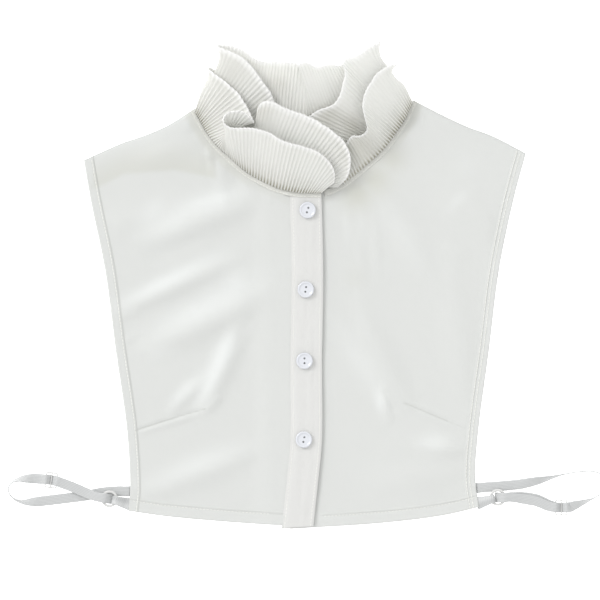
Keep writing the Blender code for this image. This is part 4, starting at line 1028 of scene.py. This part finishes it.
def tierSurface(rows, shares, columns, look):
    # the tier without its pleats
    dense = smoothRows(rows, 24)
    seam, edge = dense[:, :3], dense[:, 3:]
    travel = 0.55 * lengthsAlong(seam) + 0.45 * lengthsAlong(edge)
    wanted = np.linspace(0.0, travel[-1], look["spine"])
    seam, edge = resampled(seam, travel, wanted), resampled(edge, travel, wanted)
    coarse = seam[None] + (edge - seam)[None] * shares[:, None, None]
    coarse[..., 2] = seam[:, 2] + (edge - seam)[:, 2] * (1 - (1 - shares[:, None]) ** look["rise"])
    coarse[:, 1:-1] = (coarse[:, 1:-1] + (coarse[:, :-2] + coarse[:, 2:]) / 2) / 2
    places = np.linspace(0, look["spine"] - 1, columns)
    fine = np.stack([resampled(row, np.arange(look["spine"]), places) for row in coarse])
    return blurred(fine, columns / look["spine"] * 0.55)


def smoothNoise(count, spread, size):
    knots = max(4, int(count / spread))
    return np.interp(np.linspace(0, knots - 1, count), np.arange(knots), rng.normal(0, size, knots))


def bendRadius(grid):
    first = np.gradient(grid, axis=1)
    second = np.gradient(first, axis=1)
    speed = np.linalg.norm(first, axis=2) + 1e-9
    return speed**3 / (np.linalg.norm(np.cross(first, second), axis=2) + 1e-9)


def foldedForm(tier, folds, shares, columns, look):
    # the tier's folds, with a skirt down to the fronts behind its seam and flicked tips
    surface = tierSurface(tierRows(tier, folds), shares, columns, look)
    ahead = surface[2] - surface[1]
    ahead /= np.linalg.norm(ahead, axis=1)[:, None]
    surface[0] = surface[1] - ahead * look["skirtLead"]
    floor, longest = look["skirt"]
    surface[0, :, 2] = surface[1, :, 2] - np.clip(surface[1, :, 2] - floor, 0.0, longest)
    shares[0] = -0.03
    for tipX, tipY, reach, flick, hollow in look["tips"]:
        near = bell(np.hypot(surface[-1, :, 0] - tipX, surface[-1, :, 1] - tipY), reach)
        outward = smoothStep((shares - 0.86) / 0.14)[:, None] * near
        inward = bell(shares - 0.74, 0.2)[:, None] * near
        surface += outward[..., None] * np.array(flick) + inward[..., None] * np.array(hollow)
    return surface


def shellFaces(rows, columns):
    # both faces of a closed shell on a grid, and the rim between them
    count = rows * columns
    faces = [face[::-1] for face in gridFaces(rows, columns)]
    faces += [[k + count for k in face] for face in gridFaces(rows, columns)]
    rim = [*range(columns), *(i * columns + columns - 1 for i in range(1, rows))]
    rim += [(rows - 1) * columns + j for j in range(columns - 2, -1, -1)]
    rim += [i * columns for i in range(rows - 2, 0, -1)]
    return faces + [[a, b, b + count, a + count] for a, b in zip(rim, rim[1:] + rim[:1])]


def buildTier(name, tier, folds):
    # sharp narrow pleats over the folds of a tier, with a rolled free edge
    look = tierLooks[name]
    samples = look["samples"]
    columns = look["pleats"] * samples + 1
    shares = np.concatenate([[0.0], np.linspace(0.0, 0.955, look["rows"] - 3), [0.975, 1.0]])
    surface = foldedForm(tier, folds, shares, columns, look)
    along = np.gradient(surface, axis=1)
    up = np.gradient(surface, axis=0) / np.gradient(shares)[:, None, None]
    normal = np.cross(along, up)
    normal /= np.linalg.norm(normal, axis=2)[..., None] + 1e-12
    upDirection = up / (np.linalg.norm(up, axis=2)[..., None] + 1e-12)
    profile = np.array(look["profile"])
    wander = smoothNoise(columns, 60, look["wander"])
    phase = (np.arange(columns) / samples + wander * 0.5) % 1.0
    shape = np.interp(phase * samples, np.arange(samples + 1), np.append(profile, profile[0]))
    strength = np.repeat(1.0 + rng.normal(0, look["unevenness"], look["pleats"]), samples)
    strength = np.append(strength, strength[-1])
    depth = np.interp(shares, look["depthShares"], look["depths"])
    room = np.minimum(1.0, 0.45 * bendRadius(surface) / depth[:, None])
    room *= smoothStep(np.linalg.norm(along, axis=2) * samples / look["finestPitch"])
    room = blurred(room[..., None], 6.0)[..., 0]
    calm = np.ones(surface.shape[:2])
    for x, y, radius, amount in calmPlaces:
        calm = calm * (1 - amount * bell(np.hypot(surface[..., 0] - x, surface[..., 1] - y), radius))
    calm = np.minimum(calm, look["deepest"])
    lift = depth[:, None] * room * calm * (strength * shape)[None, :]
    waves = smoothNoise(columns, 30, look["scallop"]) + smoothNoise(columns, 11, look["scallop"] * 0.45)
    flare = (shares**2)[:, None] * np.minimum(1.0, room) * waves[None, :]
    middle = surface + normal * lift[..., None]
    middle += upDirection * flare[..., None] * 0.7
    middle += upDirection * ((shares**3)[:, None] * shape[None, :] * 0.22)[..., None]
    middle += normal * (flare * 0.6)[..., None]
    thick = np.full(len(shares), look["thickness"])
    thick[-2:] = (look["rolledEdge"], look["rolledEdge"] * 0.75)
    half = normal * (thick / 2)[:, None, None]
    points = np.concatenate([(middle - half).reshape(-1, 3), (middle + half).reshape(-1, 3)])
    made = newObject(name, points, shellFaces(len(shares), columns), finish["pleatedVoilePaintedShade"])
    facing = np.sign(normal[..., 2])
    # painted shade in the pleats' valleys, deepest near the gathered seam, plus the listed shaded places
    fade = 0.12 + 0.35 * (1 - smoothStep(shares / 0.5)) + 0.85 * (1 - smoothStep(shares / 0.15))
    patches = np.clip(0.85 + smoothNoise(columns, 80, 0.25), 0.35, 1.3)
    valleyShade = (0.5 - 0.5 * shape[None, :] * facing) ** 2.4 * fade[:, None] * patches[None, :] * calm
    for x, y, radius, amount in shadedPlaces:
        valleyShade = valleyShade + amount * bell(np.hypot(surface[..., 0] - x, surface[..., 1] - y), radius)
    start, length = look["brightEdge"]
    free = np.repeat(np.clip((shares - start) / length, 0, 1)[:, None], columns, axis=1)
    addAttribute(made, "valleyShade", np.tile(valleyShade.ravel(), 2))
    addAttribute(made, "freeEdge", np.tile(free.ravel(), 2))
    return made


ruffleOuter = finishPiece(buildTier("ruffleOuter", "outer", outerFolds), "pleated_voile", "ruffle_outer")
ruffleInner = finishPiece(buildTier("ruffleInner", "inner", innerFolds), "pleated_voile", "ruffle_inner")
print("ruffle tiers built")

strapLook = {"thickness": 0.9, "sides": 18, "steps": 9, "stretchWave": 0.12, "width": 8.0}
tabRibs = {"pitch": 1.6, "height": 0.13}
strapRoutes = {  # x, y, z, tilt in degrees, width where it is pulled narrower
    "left": (
        (-141.2, -165.4, 0.55, 0), (-154, -165.4, 0.55, 0), (-165.5, -166.6, 0.55, 0), (-176, -168.8, 0.55, 0),
        (-189.5, -170.6, 0.55, 0), (-202.5, -172.2, 0.55, 0), (-213, -173.4, 0.60, 8), (-220, -173.9, 0.60, 34),
        (-227, -173.9, 0.60, 66), (-233.6, -171.9, 0.60, 84), (-237.9, -167.6, 0.60, 90), (-238.9, -162.6, 0.60, 92),
        (-236, -158.2, 0.60, 98), (-230.5, -155.9, 0.60, 116), (-224.5, -155.3, 0.60, 144),
        (-218.5, -155.3, 0.60, 172), (-212.6, -155.6, 1.60, 180), (-209, -155.8, 3.70, 180),
        (-206.7, -156.1, 2.15, 180), (-204.6, -156.4, 0.62, 180), (-202.5, -156.8, 2.15, 180),
        (-200.2, -157.2, 3.70, 180), (-196, -158.8, 3.30, 180), (-185.5, -162.8, 3.30, 180), (-176, -167, 3.60, 180),
        (-168.5, -169.8, 4.90, 180, 7),
    ),
    "leftReturn": (
        (-168.5, -169.8, 2.00, 0, 7), (-176, -167, 1.95, 0), (-185.5, -162.8, 1.95, 0), (-194, -159.5, 1.50, 0),
        (-199.5, -157.6, 0.62, 0), (-200.9, -157.1, 0.55, 0),
    ),
    "right": (
        (135.4, -162.9, 0.55, 0), (146.5, -161.9, 0.55, 0), (158.5, -161, 0.55, 0), (170.5, -159.8, 0.80, 4),
        (182.5, -157.4, 2.10, 30), (194.5, -154.6, 3.80, 66), (206.5, -151.6, 4.25, 86), (218.5, -149.6, 4.30, 90),
        (229.5, -149.6, 4.30, 90), (237.2, -153, 4.30, 90), (239.5, -159.5, 4.30, 90), (236.5, -166, 4.30, 90),
        (229.5, -170.8, 4.20, 96), (221, -174.2, 3.20, 122), (213.5, -176.9, 1.60, 160), (211.2, -177.9, 1.60, 176),
        (207.8, -178.3, 3.70, 180, 7.8), (205.5, -178.4, 2.15, 180, 7.8), (203.4, -178.5, 0.62, 180, 7.8),
        (201.3, -178.5, 2.15, 180, 7.8), (199, -178.3, 3.75, 180, 7.8), (193.4, -177.4, 3.30, 180, 7.8),
        (184, -173.6, 3.30, 180), (173.5, -171.6, 3.60, 180), (163.5, -170.4, 4.90, 180, 7),
    ),
    "rightReturn": (
        (163.5, -169.6, 2.00, 0, 7), (173.5, -170, 1.95, 0), (184, -171.8, 1.95, 0), (193.6, -176.2, 1.50, 0),
        (198.4, -178, 0.62, 0), (199.8, -178.3, 0.55, 0),
    ),
}
fittings = {
    "ringLeft": (-158, -171.5), "ringRight": (152.6, -170.3), "ringRadius": 5.8, "ringWire": 0.98, "ringHeight": 3.7,
    "sliderLeft": (-204.6, -156.5, -8), "sliderRight": (203.4, -178.4, 1), "sliderLength": 9.8,
    "sliderWidth": 13, "sliderBar": 0.45, "sliderRail": 0.55, "sliderHeight": 2.2,
    "sliderCorner": 1.1, "sliderThick": 0.42, "tabEnds": (1.55, 0.64),
    "tabLeft": (-144, -175.2), "tabRight": (138.7, -174.4), "tabWidth": 9, "tabLead": 1.5,
    "tabTop": 2.7, "tabLow": 0.75, "tabSewn": 3.2, "tabSewnWidth": 10.2, "tabAtRing": 6.8, "tabInRing": 2.8,
    "strapAtRing": 7.7, "webThickness": 1,
    "strapTurn": ((5.8, 5.5), (3.6, 5.25), (1.3, 3.9), (-0.4, 2.5), (-1.9, 1.5), (-0.8, 0.8), (2.4, 1), (5.8, 1.75)),
}


def tilted(rows):
    # rows of place, direction of the width and width, from rows with a tilt
    places = np.array([row[:3] for row in rows])
    along = np.gradient(places[:, :2], axis=0)
    along /= np.linalg.norm(along, axis=1)[:, None]
    found = []
    for (x, y, z, tilt, *narrow), (alongX, alongY) in zip(rows, along):
        width = narrow[0] if narrow else strapLook["width"]
        flat, upright = math.cos(math.radians(tilt)), math.sin(math.radians(tilt))
        lowest = (width * abs(upright) + fittings["webThickness"] * abs(flat)) / 2 + 0.2
        found.append((x, y, max(z, lowest), -alongY * flat, alongX * flat, upright, width))
    return found


def toRing(ring, end):
    toward = np.array([end[0] - ring[0], end[1] - ring[1]])
    return toward / np.linalg.norm(toward)


def roundRing(ring, end):
    # rows of the strap over the ring's wire, down inside the ring and back under it
    toward = toRing(ring, end)
    places = [(*(np.array(ring) + toward * away), height) for away, height in fittings["strapTurn"]]
    return [(*place, -toward[1], toward[0], 0.0, fittings["strapAtRing"]) for place in places]


def tabRoute(end, ring):
    # the tab from under the front's corner round the ring's wire and back
    toward = toRing(ring, end)

    def section(place, z, width):
        return (*place, z, -toward[1], toward[0], 0.0, width)

    radius, height = fittings["ringRadius"], fittings["ringHeight"]
    reach = radius - fittings["tabInRing"]
    clear = 1.0 + seamGap + fittings["webThickness"] / 2
    turn = []
    for degrees in (90, 50, 0, -50, -90):
        angle = math.radians(degrees)
        place = np.array(ring) + toward * (radius - reach * math.cos(angle))
        turn.append(section(place, height + clear * math.sin(angle), fittings["tabAtRing"]))
    sewn = np.array(end) + toward * fittings["tabSewn"]
    lead = np.array(end) - toward * fittings["tabLead"]
    middle = np.array(ring) + toward * (radius + 1.0 + 2 * fittings["tabLead"])
    wide, sewnWidth = fittings["tabWidth"], fittings["tabSewnWidth"]
    middleWidth = (fittings["tabAtRing"] + wide) / 2
    top, low = fittings["tabTop"], fittings["tabLow"]
    highEnd, lowEnd = fittings["tabEnds"]
    return [
        section(sewn, highEnd, sewnWidth), section(lead, top - 0.4, wide),
        section(middle, (top + turn[0][2]) / 2, middleWidth), *turn,
        section(middle, (low + turn[-1][2]) / 2, middleWidth), section(lead, low, wide),
        section(sewn, lowEnd, sewnWidth),
    ]


def webbing(name, route, look, material, ribs=None):
    # flat elastic with rounded edges along a route; ribs stand across it if asked for
    dense = smoothRows(route, look["steps"], 3, 0.0)
    place = dense[:, :3]
    run = lengthsAlong(place)
    tangent = np.gradient(place, axis=0)
    tangent /= np.linalg.norm(tangent, axis=1)[:, None]
    turn = np.linspace(0, fullTurn, look["sides"], endpoint=False)
    acrossShape = np.sign(np.cos(turn)) * np.abs(np.cos(turn)) ** 0.55
    thickShape = np.sign(np.sin(turn)) * np.abs(np.sin(turn)) ** 0.6
    points, uv = [], []
    for at, point, ahead, across, width in zip(run, place, tangent, dense[:, 3:6], dense[:, 6]):
        across = across / np.linalg.norm(across)
        face = np.cross(ahead, across)
        face = face / np.linalg.norm(face)
        half = (width + look["stretchWave"] * math.sin(at * 0.9)) / 2 * acrossShape
        rib = ribs["height"] * math.sin(fullTurn * at / ribs["pitch"]) if ribs else 0.0
        lift = (look["thickness"] / 2 + rib) * thickShape
        points.append(point + across * half[:, None] + face * lift[:, None])
        uv += [(at, share) for share in (acrossShape + 1) / 2]
    return newObject(name, np.concatenate(points), sweptFaces(len(place), look["sides"]), material, True, uv)


def tube(path, radii, sides=12, closed=False):
    # points and faces of a tube whose section is radii wide and high
    path = np.asarray(path, float)
    ahead = np.roll(path, -1, axis=0) - np.roll(path, 1, axis=0) if closed else np.gradient(path, axis=0)
    ahead /= np.linalg.norm(ahead, axis=1)[:, None]
    across = np.cross(ahead, (0.0, 0.0, 1.0))
    across /= np.linalg.norm(across, axis=1)[:, None] + 1e-9
    over = np.cross(across, ahead)
    turn = np.linspace(0, fullTurn, sides, endpoint=False)
    wide, high = np.broadcast_to(np.asarray(radii, float), (len(path), 2)).T
    points = path[:, None] + across[:, None] * (wide[:, None] * np.cos(turn))[..., None]
    points = points + over[:, None] * (high[:, None] * np.sin(turn))[..., None]
    return points.reshape(-1, 3), sweptFaces(len(path), sides, closed)


def joined(name, parts, material):
    points, faces, offset = [], [], 0
    for somePoints, someFaces in parts:
        points.append(somePoints)
        faces += [[k + offset for k in face] for face in someFaces]
        offset += len(somePoints)
    return newObject(name, np.concatenate(points), faces, material)


def buildRing(name, spot):
    # moulded ring, a little flattened, with the faint nib where the mould was fed
    turn = np.linspace(0, fullTurn, 72, endpoint=False)
    radius, wire = fittings["ringRadius"], fittings["ringWire"]
    height = 0 * turn + fittings["ringHeight"]
    path = np.stack([spot[0] + radius * np.cos(turn), spot[1] + radius * np.sin(turn), height], axis=-1)
    nib = 0.1 * bell(turn - 1.9, 0.09)
    radii = np.stack([wire + nib, wire * 0.96 + nib], axis=-1)
    return joined(name, [tube(path, radii, 16, True)], finish["nylonFitting"])


def buildSlider(name, spot):
    # three-bar buckle: a rounded frame and a bar across the middle
    x, y, degrees = spot
    c, s = math.cos(math.radians(degrees)), math.sin(math.radians(degrees))
    bar, rail, corner, thick = (fittings["slider" + part] for part in ("Bar", "Rail", "Corner", "Thick"))
    halfLong = fittings["sliderLength"] / 2 - bar
    halfWide = fittings["sliderWidth"] / 2 - rail
    rows = []
    for cornerX, cornerY, start in ((1, 1, 0), (-1, 1, 90), (-1, -1, 180), (1, -1, 270)):
        for angle in np.radians(start + 15.0 * np.arange(7)):
            onRail = math.sin(angle) ** 2
            placeX = cornerX * (halfLong - corner) + corner * math.cos(angle)
            placeY = cornerY * (halfWide - corner) + corner * math.sin(angle)
            rows.append((placeX, placeY, bar + (rail - bar) * onRail, thick + 0.05 * onRail))
    rows = np.array(rows)
    shares = np.linspace(0, 1, 4, endpoint=False)[None, :, None]
    filled = (rows[:, None] * (1 - shares) + np.roll(rows, -1, axis=0)[:, None] * shares).reshape(-1, 4)

    def placed(flat):
        height = 0 * flat[:, 0] + fittings["sliderHeight"]
        return np.stack([x + c * flat[:, 0] - s * flat[:, 1], y + s * flat[:, 0] + c * flat[:, 1], height], axis=-1)

    middle = np.stack([np.zeros(9), np.linspace(-halfWide, halfWide, 9)], axis=-1)
    parts = [tube(placed(filled), filled[:, 2:], 12, True), tube(placed(middle), (bar, thick), 12)]
    return joined(name, parts, finish["nylonFitting"])


for side in ("Left", "Right"):
    sign, ring = side.lower(), fittings["ring" + side]
    route = [*tilted(strapRoutes[sign]), *roundRing(ring, strapRoutes[sign][-1])]
    route += tilted(strapRoutes[sign + "Return"])
    finishPiece(webbing("strap" + side, route, strapLook, finish["strapElastic"]), "elastic", "strap_" + sign)
    route = tabRoute(fittings["tab" + side], ring)
    tab = webbing("strapTab" + side, route, strapLook, finish["tabElastic"], tabRibs)
    finishPiece(tab, "elastic", "strap_tab_" + sign)
    finishPiece(buildRing("ring" + side, ring), "fitting_plastic", "ring_" + sign)
    finishPiece(buildSlider("slider" + side, fittings["slider" + side]), "fitting_plastic", "slider_" + sign)
print("straps, tabs, rings and sliders built")

buttonLook = {
    "radius": 6.6, "thickness": 2.3, "dish": 0.7, "rim": 1.3, "holeRadius": 0.8, "holeSpacing": 3.8,
    "underside": levels["placket"] + wall + seamGap, "sides": 72, "holeSides": 20, "crisp": 38.0,
}
buttonSpots = ((0.5, 59.5, -18.0), (-1.0, -4.0, -10.0), (-2.0, -61.0, 0.0), (-2.5, -124.0, -12.0))


def buildButton(name, spot, look):
    # turned button with a rounded rim and a dish; two holes are bored through it
    x, y, degrees = spot
    radius, thick = look["radius"], look["thickness"]
    inner = radius - look["rim"]
    profile = [
        (radius - 1.1, 0.0), (radius - 0.5, 0.18), (radius - 0.1, 0.6), (radius, 1.1), (radius, 1.5),
        (radius - 0.12, 1.9), (radius - 0.4, thick - 0.1), (radius - 0.75, thick), (inner + 0.2, thick - 0.04),
        (inner - 0.15, thick - 0.2), (inner - 0.5, thick - 0.5), (inner - 0.95, thick - look["dish"] + 0.03),
        (inner - 1.5, thick - look["dish"]),
    ]
    turn = np.linspace(0, fullTurn, look["sides"], endpoint=False)
    points = [(r * math.cos(angle), r * math.sin(angle), h) for r, h in profile for angle in turn]
    made = newObject(name, points, sweptFaces(len(profile), look["sides"]), finish["pearlButton"])
    turn = np.linspace(0, fullTurn, look["holeSides"], endpoint=False)
    hole = np.stack([look["holeRadius"] * np.cos(turn), look["holeRadius"] * np.sin(turn), 0 * turn], axis=-1)
    drills = []
    for place in (-look["holeSpacing"] / 2, look["holeSpacing"] / 2):
        drillPoints = np.concatenate([hole + (0.0, place, h) for h in (-3.0, 6.0)])
        faces = sweptFaces(2, look["holeSides"])
        drills.append(newObject(name + "Drill", drillPoints, faces, finish["pearlButton"], False))
        bore = made.modifiers.new("bore", "BOOLEAN")
        bore.operation, bore.solver, bore.object = "DIFFERENCE", "EXACT", drills[-1]
    bpy.context.view_layer.update()
    bored = bpy.data.meshes.new_from_object(made.evaluated_get(bpy.context.evaluated_depsgraph_get()))
    made.modifiers.clear()
    made.data = bored
    bored.set_sharp_from_angle(angle=math.radians(look["crisp"]))
    for drill in drills:
        bpy.data.objects.remove(drill, do_unlink=True)
    made.location = (x * mm, y * mm, look["underside"] * mm)
    made.rotation_euler[2] = math.radians(degrees)
    return made


for number, spot in enumerate(buttonSpots, start=1):
    finishPiece(buildButton(f"button{number}", spot, buttonLook), "button_plastic", f"button_{number}")
print("buttons built")

seamStitch = {"length": 2.3, "gap": 0.55, "radius": 0.15}
armholeStitch = {"length": 2.6, "gap": 0.25, "radius": 0.26}
stitchForm = {
    "at": (0.0, 0.14, 0.5, 0.86, 1.0), "lift": (-0.16, 0.02, 0.08, 0.02, -0.16), "width": (0.35, 0.95, 1.0, 0.95, 0.35),
}
stitchRows = {
    "frontLeft": (6.4,), "frontRight": (4.4, 7.2), "hemInset": 1.1, "hemSkips": 3, "hemGap": (-28.0, 11.0),
    "placket": (2.4, 23.2), "binding": 0.8,
}
stitchLift = {"armhole": 0.3, "hem": 0.26, "placket": 0.28, "binding": 0.24}


def stitchParts(path, length, gap, radius):
    # short rounded stitches along a line of points, sunk at their ends
    run = lengthsAlong(path)
    parts = []
    start = gap
    while start + length < run[-1]:
        points = resampled(path, run, start + np.array(stitchForm["at"]) * length)
        points[:, 2] += np.array(stitchForm["lift"])
        wide = radius * np.array(stitchForm["width"])
        parts.append(tube(points, np.stack([wide, wide], axis=-1), 6))
        start += length + gap
    return parts


def lineAcross(points, distance, wanted, lift):
    # points of a sheet where its distance from a hem has the wanted value, row by row
    found = []
    for row, away in zip(points, distance):
        if away.min() < wanted < away.max():
            order = np.argsort(away)
            found.append([np.interp(wanted, away[order], row[order, k]) for k in range(3)])
    return np.array(found) + (0.0, 0.0, lift)


def threadObject(name, parts, slot):
    return finishPiece(joined(name, parts, finish["sewingThread"]), slot)


parts = []
for name in ("frontLeft", "frontRight"):
    look = frontLooks[name]
    _, inward, upward = frontGrid(look)
    grid = frontPoints[name]
    for distance in stitchRows[name]:
        parts += stitchParts(lineAcross(grid, inward, distance, stitchLift["armhole"]), **armholeStitch)
    skips, wanted = stitchRows["hemSkips"], look["bottomHem"] - stitchRows["hemInset"]
    hemLine = lineAcross(grid.transpose(1, 0, 2)[skips:], upward.T[skips:], wanted, stitchLift["hem"])
    hidden = (hemLine[:, 0] >= stitchRows["hemGap"][0]) & (hemLine[:, 0] <= stitchRows["hemGap"][1])
    parts += stitchParts(hemLine[~hidden], **seamStitch)
threadObject("hemStitching", parts, "chiffon")
fromLeft = placketPoints[..., 0] - placketPoints[:, :1, 0]
parts = []
for distance in stitchRows["placket"]:
    parts += stitchParts(lineAcross(placketPoints, fromLeft, distance, stitchLift["placket"]), **seamStitch)
threadObject("placketStitching", parts, "placket_cloth")
parts = []
for points in bindingPoints.values():
    line = points[int(bindingLook["columns"] * stitchRows["binding"])] + (0.0, 0.0, stitchLift["binding"])
    parts += stitchParts(line, **seamStitch)
threadObject("bindingStitching", parts, "chiffon")
print("stitching sewn")
